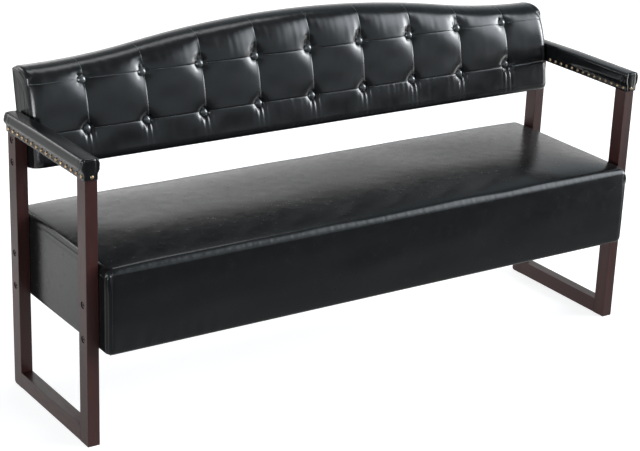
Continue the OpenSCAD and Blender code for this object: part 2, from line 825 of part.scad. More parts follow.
module back_cover_form() {
    rings = [for (c = back_columns()) [for (p = back_ring(c[0], c[1])) [c[0], -p[0], p[1]]]];
    points = [for (ring = rings, p = ring) p];
    polyhedron(points, capped_faces(len(rings), len(rings[0])), convexity = 4);
}

module back_cover() {
    turned = back_skin + back_turn_in_width;
    color("#1d1f21") difference() {
        back_place() difference() {
            back_cover_form();
            camel_slab(cushion_half - turned, turned, turned, -overrun, back_frame_rear + overrun);
            camel_slab(board_back_half(), back_skin, back_skin, back_frame_rear, back_foam_rear);
            back_foam_slab(overrun);
        }
        twine_holes(back_foam_front, pit_level);
        for (right = [false, true]) on_side(right) back_bolt_places()
            translate([-cushion_half - overrun, 0, 0])
                rod_x(back_skin + 2 * overrun, bolt_diameter / 2 + bolt_hole_play);
    }
}

// Covered button: a flat-backed dome on a short neck
module button() {
    head = button_diameter / 2;
    ball = (head * head + button_height * button_height) / (2 * button_height);
    neck_foot = pit_level + button_neck_play;
    translate([0, 0, neck_foot]) cylinder(h = button_base - neck_foot + overrun, r = button_neck_radius);
    translate([0, 0, button_base]) intersection() {
        translate([0, 0, button_height - ball]) sphere(r = ball);
        cylinder(h = button_height + overrun, r = head + overrun);
    }
}

module back_buttons() {
    color("#222426") button_places() button();
}

// Twine from a button's neck to a disc behind the panel
module button_twines() {
    length = pit_level + button_neck_play - back_panel_rear;
    color("ivory") button_places() {
        translate([0, 0, back_panel_rear - overrun])
            cylinder(h = length + overrun, r = twine_diameter / 2, $fn = 16);
        translate([0, 0, back_panel_rear - twine_disc_height])
            cylinder(h = twine_disc_height, r = twine_disc_radius, $fn = 24);
    }
}

// Fasteners

// Socket-head bolt along +X, its head at the bottom of the leg's counterbore
module bolt() {
    translate([frame_left + counterbore_depth, 0, 0]) {
        rod_x(bolt_length, bolt_diameter / 2);
        translate([-bolt_head_height, 0, 0]) difference() {
            rod_x(bolt_head_height, bolt_head_diameter / 2);
            translate([-overrun, 0, 0]) rotate([0, 90, 0])
                cylinder(h = socket_depth + overrun, d = socket_width / cos(30), $fn = 6);
        }
    }
}

// Threaded insert, flush with the face it is screwed into
module insert(face) {
    translate([face, 0, 0]) difference() {
        rod_x(insert_length, insert_diameter / 2);
        translate([-overrun, 0, 0]) rod_x(insert_length + 2 * overrun, bolt_diameter / 2 + insert_play);
    }
}

module seat_bolts(right) {
    color("dimgray") on_side(right) for (s = [-1, 1]) seat_bolt_places(s) bolt();
}

module back_bolts(right) {
    color("dimgray") on_side(right) back_bolt_places() bolt();
}

module seat_inserts(right) {
    color("silver") on_side(right) for (s = [-1, 1]) seat_bolt_places(s) insert(-board_half);
}

module back_inserts(right) {
    color("silver") on_side(right) back_bolt_places() insert(-board_back_half());
}

front_leg(false);  // front_leg_left
front_leg(true);  // front_leg_right
rear_leg(false);  // rear_leg_left
rear_leg(true);  // rear_leg_right
floor_rail(false);  // floor_rail_left
floor_rail(true);  // floor_rail_right
frame_dowels(false);  // frame_dowels_left
frame_dowels(true);  // frame_dowels_right
arm_rail(false);  // arm_rail_left
arm_rail(true);  // arm_rail_right
arm_foam(false);  // arm_foam_left
arm_foam(true);  // arm_foam_right
arm_cover(false);  // arm_cover_left
arm_cover(true);  // arm_cover_right
arm_nails(false);  // arm_nails_left
arm_nails(true);  // arm_nails_right
seat_long_board(board_front);  // seat_front_board
seat_long_board(board_rear - board_thickness);  // seat_rear_board
seat_end_board(false);  // seat_end_board_left
seat_end_board(true);  // seat_end_board_right
seat_cross_braces();
seat_corner_blocks();
seat_deck();
seat_foam();
seat_topper();
seat_cover();
seat_dust_cover();
back_bottom_rail();
back_top_rail();
back_stile(false);  // back_stile_left
back_stile(true);  // back_stile_right
back_uprights();
back_panel();
back_foam();
back_cover();
back_rear_panel();
back_buttons();
button_twines();
seat_bolts(false);  // seat_bolts_left
seat_bolts(true);  // seat_bolts_right
back_bolts(false);  // back_bolts_left
back_bolts(true);  // back_bolts_right
seat_inserts(false);  // seat_inserts_left
seat_inserts(true);  // seat_inserts_right
back_inserts(false);  // back_inserts_left
back_inserts(true);  // back_inserts_right
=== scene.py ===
import math

import bmesh
import bpy
import numpy as np
from bpy.props import FloatProperty, FloatVectorProperty, IntProperty, PointerProperty
from mathutils import Matrix, Vector


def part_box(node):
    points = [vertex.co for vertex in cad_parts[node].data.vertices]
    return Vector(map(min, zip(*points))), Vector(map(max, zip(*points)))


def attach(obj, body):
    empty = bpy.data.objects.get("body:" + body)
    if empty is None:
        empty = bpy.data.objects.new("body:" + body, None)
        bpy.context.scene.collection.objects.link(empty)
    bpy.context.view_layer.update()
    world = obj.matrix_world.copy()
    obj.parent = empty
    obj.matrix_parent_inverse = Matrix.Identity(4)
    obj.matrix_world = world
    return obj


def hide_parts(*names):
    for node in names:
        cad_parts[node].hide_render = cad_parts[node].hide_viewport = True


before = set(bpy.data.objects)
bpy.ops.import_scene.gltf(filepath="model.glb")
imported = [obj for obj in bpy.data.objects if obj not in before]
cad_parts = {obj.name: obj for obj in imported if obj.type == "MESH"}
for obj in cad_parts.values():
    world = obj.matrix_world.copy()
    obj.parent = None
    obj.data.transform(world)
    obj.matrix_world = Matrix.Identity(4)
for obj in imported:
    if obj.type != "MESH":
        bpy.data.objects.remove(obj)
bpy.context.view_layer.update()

bl_info = {
    "name": "Tufted Waiting Bench",
    "version": (1, 0, 0),
    "blender": (4, 5, 0),
    "location": "View3D > Sidebar > Bench",
    "description": "Dresses the bench's frame with its leatherette covers, buttons, stitches and finishes",
    "category": "Add Mesh",
}

SIDES = ("left", "right")
ROOT = "root"


def node_box(name):
    """Lowest and highest corners of a node, as two arrays in metres."""
    low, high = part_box(name)
    return np.array(low), np.array(high)


SEAT_LOW, SEAT_HIGH = node_box("seat_cover")
LEG_LOW, LEG_HIGH = node_box("rear_leg_left")
LEG_OUTSIDE, LEG_TOP, FRAME_REAR = LEG_LOW[0], LEG_HIGH[2], LEG_HIGH[1]
CUSHION_HALF = node_box("back_cover")[1][0]
FOAM_HALF = node_box("back_foam")[1][0]


class BackSettings(bpy.types.PropertyGroup):
    """Sizes of the tufted backrest, in its own leaning frame."""

    lean: FloatProperty(name="Lean", description="Backward lean", default=math.radians(10), subtype="ANGLE")
    foot_setback: FloatProperty(
        name="Foot setback", description="Lower rear edge in front of the frame's back", default=0.0058,
        unit="LENGTH")
    foot_drop: FloatProperty(
        name="Foot drop", description="Lower rear edge below the top of the legs", default=0.089,
        unit="LENGTH")
    shoulder_height: FloatProperty(
        name="Shoulder height", description="Height of the shoulders", default=0.237, unit="LENGTH")
    hump_rise: FloatProperty(
        name="Hump rise", description="Rise of the hump over the shoulders", default=0.059, unit="LENGTH")
    thickness: FloatProperty(
        name="Thickness", description="Depth of the backrest", default=0.092, unit="LENGTH")
    top_round: FloatProperty(
        name="Top round", description="Depth of the rounding over the top edge", default=0.120,
        unit="LENGTH")
    bottom_radius: FloatProperty(
        name="Bottom radius", description="Radius of the bottom front edge", default=0.018, unit="LENGTH")
    end_round: FloatProperty(
        name="End round", description="Radius of the rounding beside the end seams", default=0.025,
        unit="LENGTH")
    pit_level: FloatProperty(
        name="Pit level", description="Depth of the upper pits from the rear plane", default=0.0795,
        unit="LENGTH")
    low_pit_level: FloatProperty(
        name="Lower pit level", description="Depth of the lower pits from the rear plane", default=0.0830,
        unit="LENGTH")
    pit_depth: FloatProperty(
        name="Pit depth", description="Least depth of a pit under the leather", default=0.0080,
        unit="LENGTH")
    end_margin: FloatProperty(
        name="End margin", description="First button column from the end", default=0.1419, unit="LENGTH")
    columns: IntProperty(name="Columns", description="Buttons in a row", default=9, min=3)
    lower_row: FloatProperty(
        name="Lower row", description="Height of the lower row", default=0.079, unit="LENGTH")
    upper_row: FloatProperty(
        name="Upper row", description="Height of the upper row", default=0.196, unit="LENGTH")
    swell: FloatProperty(
        name="Swell", description="Swelling of the leather between seams", default=0.0018, unit="LENGTH")
    button_radius: FloatProperty(
        name="Button radius", description="Radius of a covered button", default=0.0108, unit="LENGTH")
    button_rise: FloatProperty(
        name="Button rise", description="Height of a covered button", default=0.0064, unit="LENGTH")
    lower_slips: FloatVectorProperty(
        name="Lower slips", description="How far each lower button sits off its row", size=9, unit="LENGTH",
        default=(0, 0, -0.003, -0.0005, -0.0005, 0.0005, 0.002, -0.0005, 0.0065))
    upper_slips: FloatVectorProperty(
        name="Upper slips", description="How far each upper button sits off its row", size=9, unit="LENGTH",
        default=(-0.003, -0.0025, -0.001, 0, 0.002, 0.003, 0.001, 0.0035, 0.001))


class SeatSettings(bpy.types.PropertyGroup):
    """Sizes of the seat cushion."""

    edge_height: FloatProperty(
        name="Edge height", description="Height of the top edge", default=0.4450, unit="LENGTH")
    crown: FloatProperty(
        name="Crown", description="Rise of the crown over the edge", default=0.0155, unit="LENGTH")
    crown_reach: FloatProperty(
        name="Crown reach", description="Distance over which the crown rises", default=0.046, unit="LENGTH")
    top_radius: FloatProperty(
        name="Top radius", description="Radius of the top edge", default=0.015, unit="LENGTH")
    bottom_radius: FloatProperty(
        name="Bottom radius", description="Radius of the bottom edge", default=0.009, unit="LENGTH")
    corner_radius: FloatProperty(
        name="Corner radius", description="Radius of the upright corners", default=0.018, unit="LENGTH")
    bulge: FloatProperty(
        name="Bulge", description="Swelling of the front face", default=0.002, unit="LENGTH")
    corner_drop: FloatProperty(
        name="Corner drop", description="Drop of the front edge at its corners", default=0.024,
        unit="LENGTH")


class ArmSettings(bpy.types.PropertyGroup):
    """Sizes of the padded arms."""

    top_height: FloatProperty(
        name="Top", description="Height of the arm's crown", default=0.6965, unit="LENGTH")
    edge_radius: FloatProperty(
        name="Edge radius", description="Radius of the upper edges", default=0.0060, unit="LENGTH")
    rear_drop: FloatProperty(
        name="Rear drop", description="Drop of the arm towards its rear", default=0.003, unit="LENGTH")
    fold_depth: FloatProperty(
        name="Fold depth", description="Depth of the folds on the arm's ends", default=0.0030, unit="LENGTH")
    bulge: FloatProperty(
        name="Bulge", description="Swelling of the arm's sides", default=0.0055, unit="LENGTH")


class FinishSettings(bpy.types.PropertyGroup):
    """Colours and gloss of the visible finishes."""

    leather: FloatVectorProperty(
        name="Leather", description="Colour of the leatherette", default=(0.0050, 0.0055, 0.0059), size=3,
        subtype="COLOR")
    leather_roughness: FloatProperty(
        name="Leather roughness", description="Roughness of the leatherette", default=0.21, min=0, max=1)
    wood_dark: FloatVectorProperty(
        name="Wood, dark", description="Dark grain of the stained wood", default=(0.0160, 0.0061, 0.0055),
        size=3, subtype="COLOR")
    wood_light: FloatVectorProperty(
        name="Wood, light", description="Light grain of the stained wood", default=(0.0500, 0.0140, 0.0113),
        size=3, subtype="COLOR")
    brass: FloatVectorProperty(
        name="Brass", description="Bright part of the antique brass nails", default=(0.50, 0.37, 0.23),
        size=3, subtype="COLOR")


class StageSettings(bpy.types.PropertyGroup):
    """Camera, floor and lamps."""

    focal_share: FloatProperty(
        name="Focal length", description="Focal length in picture widths", default=2.8364, subtype="FACTOR")
    shift: FloatVectorProperty(
        name="Shift", description="Shift of the lens in picture widths, as the picture is a crop",
        default=(-0.1012, 0.0597), size=2, subtype="XYZ")
    camera_place: FloatVectorProperty(
        name="Camera place", description="Where the camera stands", default=(-2.4544, -3.5754, 1.9675),
        size=3, subtype="TRANSLATION")
    yaw: FloatProperty(
        name="Yaw", description="Camera's turn to the right", default=math.radians(36.181), subtype="ANGLE")
    pitch: FloatProperty(
        name="Pitch", description="Camera's tilt down", default=math.radians(21.728), subtype="ANGLE")
    roll: FloatProperty(
        name="Roll", description="Camera's roll", default=math.radians(3.03), subtype="ANGLE")
    floor_size: FloatProperty(
        name="Floor size", description="Width of the floor", default=30.0, unit="LENGTH")


def settings():
    """The settings held by the scene."""
    return bpy.context.scene.bench


class BenchSettings(bpy.types.PropertyGroup):
    """All the bench's settings."""

    back: PointerProperty(type=BackSettings)
    seat: PointerProperty(type=SeatSettings)
    arm: PointerProperty(type=ArmSettings)
    finish: PointerProperty(type=FinishSettings)
    stage: PointerProperty(type=StageSettings)


# Shape helpers

def ripple(x, y, seed, length, count=9):
    """Smooth noise from -1 to 1: a sum of sine waves of seeded directions, about length long."""
    rng = np.random.default_rng(seed)
    total = np.zeros(np.broadcast(x, y).shape)
    for _ in range(count):
        angle = rng.uniform(0, 2 * math.pi)
        wave = 2 * math.pi / (length * rng.uniform(0.7, 1.5))
        phase = rng.uniform(0, 2 * math.pi)
        total += np.sin(wave * (x * math.cos(angle) + y * math.sin(angle)) + phase)
    return total / math.sqrt(2 * count)


def ripple_along(x, seed, length, count=7):
    """Smooth noise along one axis: a sum of seeded sine waves about length long."""
    rng = np.random.default_rng(seed)
    total = np.zeros(np.shape(x))
    for _ in range(count):
        wave = 2 * math.pi / (length * rng.uniform(0.65, 1.6))
        total += np.sin(wave * x + rng.uniform(0, 2 * math.pi))
    return total / math.sqrt(2 * count)


def bell(distance, width):
    """Gaussian bell, exp(-(distance / width)^2), 1 at no distance."""
    return np.exp(-(distance / width) ** 2)


def crease(distance, width):
    """Sharp-bottomed crease, exp(-|distance| / width), 1 at no distance."""
    return np.exp(-np.abs(distance) / width)


def eased(share):
    """A share held between 0 and 1 and eased at both ends: s^2 (3 - 2 s)."""
    s = np.clip(share, 0, 1)
    return s * s * (3 - 2 * s)


def quarter_turn(steps):
    """Angles from 0 to a right angle, both included."""
    return np.linspace(0, math.pi / 2, steps)


def full_turn(steps):
    """Angles once round a circle, without its end."""
    return np.linspace(0, 2 * math.pi, steps, endpoint=False)


def grid_quads(rows, columns, wrap_rows=False, wrap_columns=False):
    """Faces of a grid of points, row after row, that may close on itself over its rows or its columns. A
    face joins a point, its neighbour in the row, and the same two in the next row."""
    i = np.arange(rows if wrap_rows else rows - 1)[:, None]
    j = np.arange(columns if wrap_columns else columns - 1)[None]
    below, after = (i + 1) % rows, (j + 1) % columns
    corners = ((i, j), (i, after), (below, after), (below, j))
    return np.stack([row * columns + column for row, column in corners], -1).reshape(-1, 4)


def closed_tube(rings):
    """Points, quads and triangles of a tube of closed rings (rings, n, 3): quads from ring to ring, and each
    end closed by a fan of triangles to its middle."""
    count, n = rings.shape[:2]
    points = np.concatenate([rings.reshape(-1, 3), rings[0].mean(0)[None], rings[-1].mean(0)[None]])
    i = np.arange(n)
    after = (i + 1) % n
    last = (count - 1) * n
    low = np.stack([np.full(n, count * n), after, i], -1)
    high = np.stack([np.full(n, count * n + 1), last + i, last + after], -1)
    return points, grid_quads(count, n, wrap_columns=True), np.concatenate([low, high])


def join_parts(parts):
    """Joins parts of points and one or more kinds of faces. Each part's faces count on from the points of
    the parts before it."""
    starts = np.cumsum([0] + [len(part[0]) for part in parts[:-1]])
    points, *kinds = zip(*parts)
    faces = [np.concatenate([face + start for face, start in zip(kind, starts)]) for kind in kinds]
    return np.concatenate(points), *faces


def make_piece(name, points, quads=None, triangles=None, weld=0.0):
    """Mesh object of the given points (metres) and faces, smooth shaded, with outward normals."""
    quads = np.zeros((0, 4), int) if quads is None else quads
    triangles = np.zeros((0, 3), int) if triangles is None else triangles
    mesh = bpy.data.meshes.new(name)
    mesh.vertices.add(len(points))
    mesh.vertices.foreach_set("co", np.asarray(points, np.float32).ravel())
    corners = np.concatenate([quads.ravel(), triangles.ravel()])
    sizes = np.concatenate([np.full(len(quads), 4), np.full(len(triangles), 3)])
    mesh.loops.add(len(corners))
    mesh.loops.foreach_set("vertex_index", corners.astype(np.int32))
    mesh.polygons.add(len(sizes))
    mesh.polygons.foreach_set("loop_start", (np.cumsum(sizes) - sizes).astype(np.int32))
    mesh.update(calc_edges=True)
    mesh.validate()
    work = bmesh.new()
    work.from_mesh(mesh)
    if weld:
        bmesh.ops.remove_doubles(work, verts=work.verts, dist=weld)
    bmesh.ops.recalc_face_normals(work, faces=work.faces)
    work.to_mesh(mesh)
    work.free()
    mesh.polygons.foreach_set("use_smooth", np.ones(len(mesh.polygons), bool))
    piece = bpy.data.objects.new(name, mesh)
    bpy.context.scene.collection.objects.link(piece)
    return piece


def finish_piece(piece, material, replaced=()):
    """Dresses a piece, lets it ride on the bench and hides the nodes it stands for."""
    piece.data.materials.append(material)
    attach(piece, ROOT)
    if replaced:
        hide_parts(*replaced)
    return piece


# Materials

def add_node(tree, kind, output, inputs, **fields):
    """Adds a node with its fields and inputs set, and returns one of its outputs."""
    node = tree.nodes.new(f"ShaderNode{kind}")
    for field, value in fields.items():
        setattr(node, field, value)
    set_inputs(tree, node, inputs)
    return node.outputs[output]


def set_inputs(tree, node, inputs):
    """Fills a node's inputs by name: another node's output is linked, and a number or colour is written."""
    for name, value in inputs.items():
        if isinstance(value, bpy.types.NodeSocket):
            tree.links.new(value, node.inputs[name])
        else:
            node.inputs[name].default_value = value


def new_material(name):
    """Empty node material with an output and a Principled shader; returns material, node tree and shader."""
    material = bpy.data.materials.get(name)
    if material is None:
        material = bpy.data.materials.new(name)
    material.use_nodes = True
    tree = material.node_tree
    tree.nodes.clear()
    output = tree.nodes.new("ShaderNodeOutputMaterial")
    shader = tree.nodes.new("ShaderNodeBsdfPrincipled")
    tree.links.new(shader.outputs["BSDF"], output.inputs["Surface"])
    return material, tree, shader


def object_coordinates(tree, scale=(1, 1, 1), turn=(0, 0, 0)):
    """Object coordinates, scaled and turned."""
    place = add_node(tree, "TexCoord", "Object", {})
    return add_node(tree, "Mapping", "Vector", {"Scale": scale, "Rotation": turn, "Vector": place})


def noise(tree, vector, scale, detail=2.0, roughness=0.5, distortion=0.0):
    """Noise from 0 to 1, with as many waves to the metre as its scale."""
    return add_node(tree, "TexNoise", "Fac", {
        "Scale": scale, "Detail": detail, "Roughness": roughness, "Distortion": distortion,
        "Vector": vector})


def cells(tree, vector, scale):
    """Distance to the nearest of scattered points: the pattern of pebbles, pores and dimples."""
    return add_node(tree, "TexVoronoi", "Distance", {"Scale": scale, "Vector": vector})


def spread(tree, value, low, high, new_low=0.0, new_high=1.0, kind="LINEAR"):
    """Maps a value from one range to another, held at its ends."""
    return add_node(tree, "MapRange", "Result", {
        "From Min": low, "From Max": high, "To Min": new_low, "To Max": new_high, "Value": value},
        interpolation_type=kind)


def blend_colours(tree, factor, first, second):
    """Mixes two colours by a factor. Either may be the output of another node."""
    first, second = (colour if isinstance(colour, bpy.types.NodeSocket) else (*colour, 1.0)
                     for colour in (first, second))
    return add_node(tree, "Mix", "Result", {"Factor": factor, "A": first, "B": second}, data_type="RGBA")


def bump(tree, height, distance, strength=1.0, under=None):
    """Bump of a height field, over another bump."""
    inputs = {"Strength": strength, "Distance": distance, "Height": height}
    if under is not None:
        inputs["Normal"] = under
    return add_node(tree, "Bump", "Normal", inputs)


def product(tree, first, second):
    """Product of two values."""
    return add_node(tree, "Math", "Value", {0: first, 1: second}, operation="MULTIPLY")


def axes(tree, vector):
    """A vector's parts, by the names X, Y and Z."""
    split = tree.nodes.new("ShaderNodeSeparateXYZ")
    tree.links.new(vector, split.inputs["Vector"])
    return split.outputs


def leather_material(name, streak_scale, streak_turn=(0, 0, 0), streak_depth=0.00008, slack=0.0005,
                     grain_depth=0.00008, dull=0.0, own=None):
    """Coated leatherette: fine pebble grain, faint stretch streaks along one direction, uneven gloss. Its
    own shader values take the place of the usual ones."""
    finish = settings().finish
    material, tree, shader = new_material(name)
    place = object_coordinates(tree)
    streaks = object_coordinates(tree, streak_scale, streak_turn)
    patches = noise(tree, place, 9.0, 3.0, 0.55)
    dark = tuple(0.8 * part for part in finish.leather)
    light = tuple(1.25 * part for part in finish.leather)
    colour = blend_colours(tree, patches, dark, light)
    even = finish.leather_roughness + dull
    rough = spread(tree, noise(tree, streaks, 60.0, 4.0, 0.6), 0.3, 0.7, even - 0.04, even + 0.06)
    grain = bump(tree, cells(tree, place, 700.0), grain_depth, 0.6)
    fine = bump(tree, noise(tree, streaks, 120.0, 3.0, 0.6, 0.4), streak_depth, 0.8, grain)
    soft = bump(tree, noise(tree, place, 22.0, 2.0), slack, 0.35, fine)
    usual = {"Base Color": colour, "Roughness": rough, "IOR": 1.46, "Normal": soft}
    set_inputs(tree, shader, {**usual, **(own or {})})
    return material


def back_leather():
    """Leatherette of the backrest, with streaks that run down its lean."""
    return leather_material("leatherette_back", (1.0, 1.0, 0.35), (settings().back.lean, 0, 0))


def button_leather():
    """Leatherette stretched over the buttons, glossier, and coloured paler than the leather: the paler
    colour is a painted sheen that makes the domes look lit.
    """
    return leather_material("leatherette_button_painted_sheen", (1.0, 1.0, 1.0), streak_depth=0.00002, slack=0.0001, own={
        "Base Color": (0.046, 0.049, 0.052, 1.0), "Roughness": 0.20, "IOR": 1.8})


def seat_leather():
    """Leatherette of the seat, with faint streaks along the bench."""
    return leather_material("leatherette_seat", (0.8, 1.0, 1.0), streak_depth=0.00003, slack=0.0001,
                            grain_depth=0.00001, dull=0.01)


def arm_leather():
    """Leatherette of the arms, with faint streaks across them."""
    return leather_material("leatherette_arm", (1.0, 0.8, 1.0), streak_depth=0.00007, slack=0.0003)


def speckled_material(name, scale, detail, first, second, roughness, depth, strength=1.0, own=None):
    """Material of one fine noise: two colours blended by it, an even roughness and a bump of it. Its own
    shader values are added."""
    material, tree, shader = new_material(name)
    speckle = noise(tree, object_coordinates(tree), scale, detail)
    set_inputs(tree, shader, {
        "Base Color": blend_colours(tree, speckle, first, second), "Roughness": roughness,
        "Normal": bump(tree, speckle, depth, strength), **(own or {})})
    return material


def thread_material():
    """Black polyester sewing thread with a twisted ply, coloured a dark grey: black thread's own dark with a
    painted highlight in it, so that the stitches read as lit dots.
    """
    return speckled_material("sewing_thread", 2500.0, 1.0, (0.075, 0.078, 0.082), (0.15, 0.156, 0.163), 0.42,
                             0.0001)


def twine_material():
    """Waxed tufting twine with a twisted lay."""
    return speckled_material("tufting_twine", 1800.0, 2.0, (0.45, 0.40, 0.28), (0.70, 0.65, 0.50), 0.8,
                             0.0002)


def painted_shade_black():
    """Matt near-black with faint dust in it: painted shade for the counterbores round the bolt holes."""
    return speckled_material("painted_shade_black", 500.0, 2.0, (0.006, 0.006, 0.006), (0.014, 0.013, 0.013), 0.9,
                             0.00005, 0.5, own={"Specular IOR Level": 0.08})


def stained_wood(name, grain_scale):
    """Dark stained hardwood under satin lacquer, with grain drawn out along the member."""
    finish = settings().finish
    material, tree, shader = new_material(name)
    along = object_coordinates(tree, grain_scale)
    figure = noise(tree, along, 34.0, 6.0, 0.62, 0.8)
    pores = noise(tree, along, 240.0, 3.0, 0.7)
    clouds = noise(tree, object_coordinates(tree), 6.0, 2.0)
    colour = blend_colours(tree, spread(tree, figure, 0.32, 0.70), finish.wood_dark, finish.wood_light)
    warm = tuple(0.75 * a + 0.25 * b for a, b in zip(finish.wood_light, finish.wood_dark))
    cloudy = blend_colours(tree, spread(tree, clouds, 0.3, 0.7, 0.15, 0.55), colour, warm)
    shallow = bump(tree, pores, 0.00008, 0.6)
    set_inputs(tree, shader, {
        "Base Color": cloudy, "Roughness": spread(tree, pores, 0.3, 0.7, 0.30, 0.44), "IOR": 1.42,
        "Coat Weight": 0.08, "Coat Roughness": 0.18, "Normal": bump(tree, figure, 0.00025, 0.35, shallow)})
    return material


def plain_wood(name, light, dark, grain_scale):
    """Unstained timber or plywood of the hidden frames, with drawn-out grain."""
    material, tree, shader = new_material(name)
    figure = noise(tree, object_coordinates(tree, grain_scale), 30.0, 5.0, 0.6, 0.7)
    set_inputs(tree, shader, {
        "Base Color": blend_colours(tree, spread(tree, figure, 0.3, 0.7), dark, light), "Roughness": 0.7,
        "Normal": bump(tree, figure, 0.0003, 0.5)})
    return material


def foam_material():
    """Open-celled upholstery foam."""
    material, tree, shader = new_material("foam")
    pores = cells(tree, object_coordinates(tree), 700.0)
    set_inputs(tree, shader, {
        "Base Color": blend_colours(tree, pores, (0.80, 0.72, 0.47), (0.66, 0.57, 0.34)), "Roughness": 0.95,
        "Normal": bump(tree, pores, 0.0004)})
    return material


def metal_material(name, bright, dull, rough_low, rough_high, scale):
    """Metal with a patina: bright and dull patches, and uneven gloss."""
    material, tree, shader = new_material(name)
    patina = noise(tree, object_coordinates(tree), scale, 4.0, 0.65)
    set_inputs(tree, shader, {
        "Base Color": blend_colours(tree, spread(tree, patina, 0.35, 0.65), dull, bright), "Metallic": 1.0,
        "Roughness": spread(tree, patina, 0.3, 0.7, rough_high, rough_low),
        "Normal": bump(tree, patina, 0.00005, 0.5)})
    return material


def dust_cloth_material():
    """Thin black non-woven cloth with a dimpled, fibrous face."""
    material, tree, shader = new_material("dust_cloth")
    place = object_coordinates(tree)
    dimples = cells(tree, place, 420.0)
    fibres = noise(tree, place, 1400.0, 3.0, 0.7)
    set_inputs(tree, shader, {
        "Base Color": blend_colours(tree, fibres, (0.012, 0.012, 0.012), (0.035, 0.035, 0.036)),
        "Roughness": 0.88, "Normal": bump(tree, fibres, 0.0001, 0.5, bump(tree, dimples, 0.0003))})
    return material


# Backrest

PLEAT_WAVE = 0.0128
FINE_STEP = 0.0010
COARSE_STEP = 0.0040
STEP_GROWTH = 0.09
BUTTON_SHIFT = -0.0045
BUTTON_SINK = 0.0004
FOAM_FRONT = 0.0700
OVER_FOAM = 0.0012
PIT_OVER_FOAM = 0.0025
UPPER_REACH = 0.0165
LOWER_REACH = 0.0075
PIT_STRETCH = 0.42
SHOULDER_PINCH = 0.007
REAR_EDGE = 0.004
CAP_RINGS = 12


def back_foot():
    """Y and Z of the backrest's lower rear edge."""
    back = settings().back
    return FRAME_REAR - back.foot_setback, LEG_TOP - back.foot_drop


def leaned(x, depth, height):
    """Points of the backrest's own frame (x, depth forwards, height up the lean) as an array (..., 3)."""
    lean = settings().back.lean
    foot_y, foot_z = back_foot()
    y = foot_y - depth * math.cos(lean) + height * math.sin(lean)
    z = foot_z + depth * math.sin(lean) + height * math.cos(lean)
    return np.stack(np.broadcast_arrays(x, y, z), -1)


def camelback(x):
    """Height of the top edge: a parabola over the middle, a counter curve down to flat shoulders."""
    back = settings().back
    hump_half = CUSHION_HALF * 0.98
    turn = hump_half * 0.61
    bend = back.hump_rise / (turn * hump_half)
    counter = bend * turn / (hump_half - turn)
    ax = np.abs(x)
    middle = back.hump_rise - bend * ax ** 2
    side = counter * np.clip(hump_half - ax, 0, None) ** 2
    return back.shoulder_height + np.where(ax <= turn, middle, side)


def button_pitch():
    """Distance from button column to button column: the outer columns' distance over the bays between
    them."""
    back = settings().back
    return (CUSHION_HALF - back.end_margin) / ((back.columns - 1) / 2)


def button_columns():
    """X of each button column, evenly spaced about the middle."""
    back = settings().back
    return (np.arange(back.columns) - (back.columns - 1) / 2) * button_pitch()


def column_offset(x):
    """Signed distance to the nearest button column, and that column's number."""
    half = (settings().back.columns - 1) // 2
    column = np.clip(np.round(x / button_pitch()), -half, half)
    return x - column * button_pitch(), column


def slipped(column, slips):
    """Each point's nearest button's slip off its row."""
    half = (settings().back.columns - 1) // 2
    return np.array(slips)[(column + half).astype(int)]


def over_top(height, top):
    """Smooth depth of the front: a cubic superellipse from the top edge down to the full thickness."""
    back = settings().back
    under = np.clip(1 - (top - height) / back.top_round, 0, 1)
    return back.thickness * (1 - under ** 3) ** (1 / 3)


def least_depth(smooth):
    """Least depth of the leather: a little over the foam, or just under the smooth front near the top
    edge."""
    return np.minimum(FOAM_FRONT + OVER_FOAM, smooth - 0.0005)


def pit_floor(smooth, level):
    """Depth of a pit's floor: its level, or deeper where the top edge's rounding already draws back, and
    always clear of the foam."""
    floor = np.minimum(level, smooth - settings().back.pit_depth)
    return np.maximum(floor, np.minimum(FOAM_FRONT + PIT_OVER_FOAM, smooth - 0.001))


def button_pull(dx, dh, reach):
    """Share of a button's pull: 1 under the button, then exp(-s), where s is the distance from the button's
    rim over the reach, which is shorter between the seams."""
    rim = 0.9 * settings().back.button_radius
    r = np.hypot(dx, dh)
    across = np.abs(2 * dx * dh) / np.maximum(r * r, 1e-9)
    return np.exp(-np.maximum(r - rim, 0) / (reach * (1 - 0.25 * across)))


def bay_swell(dx, height, to_top):
    """Swelling of the leather: a sine from seam to seam, eased to nothing at the top and bottom edges."""
    back = settings().back
    bay = np.sin(math.pi * np.clip(np.abs(dx) / button_pitch(), 0, 0.5))
    return back.swell * bay * eased(to_top / 0.05) * eased(height / 0.07)


def upright_creases(dx, up, low, to_top):
    """Depth of the upright seams. Over the upper row: a thin crease, deeper near the row and gone at the top
    edge, in a wide, shallow bell. Between the rows: a thin crease in a bell, both deeper near the rows."""
    near_up, near_low = crease(up, 0.022), crease(low, 0.016)
    fade = eased((to_top - 0.004) / 0.035)
    tall = crease(dx, 0.0020) * (0.0018 + 0.0018 * near_up) * fade + 0.0004 * bell(dx, 0.017)
    short = (crease(dx, 0.0019) * (0.0015 + 0.0010 * near_up + 0.0006 * near_low)
             + bell(dx, 0.012) * (0.0005 + 0.0012 * near_up + 0.0004 * near_low))
    return (up > 0) * tall + ((up <= 0) & (low >= 0)) * short


def row_creases(dx, up, low):
    """Depth of the two rows' seams: thin creases, deeper beside each button."""
    return (crease(up, 0.0014) + crease(low, 0.0014)) * (0.0008 + 0.0012 * crease(dx, 0.022))


def button_rays(dx, dh, phase):
    """Seven faint folds that ray out from a button's rim: a cosine of the angle, faded over 8 mm."""
    rim = np.hypot(dx, dh) - settings().back.button_radius
    folds = np.cos(7 * np.arctan2(dh, dx) + phase)
    return 0.0005 * folds * np.exp(-np.clip(rim, 0, None) / 0.008) * eased(rim / 0.003)


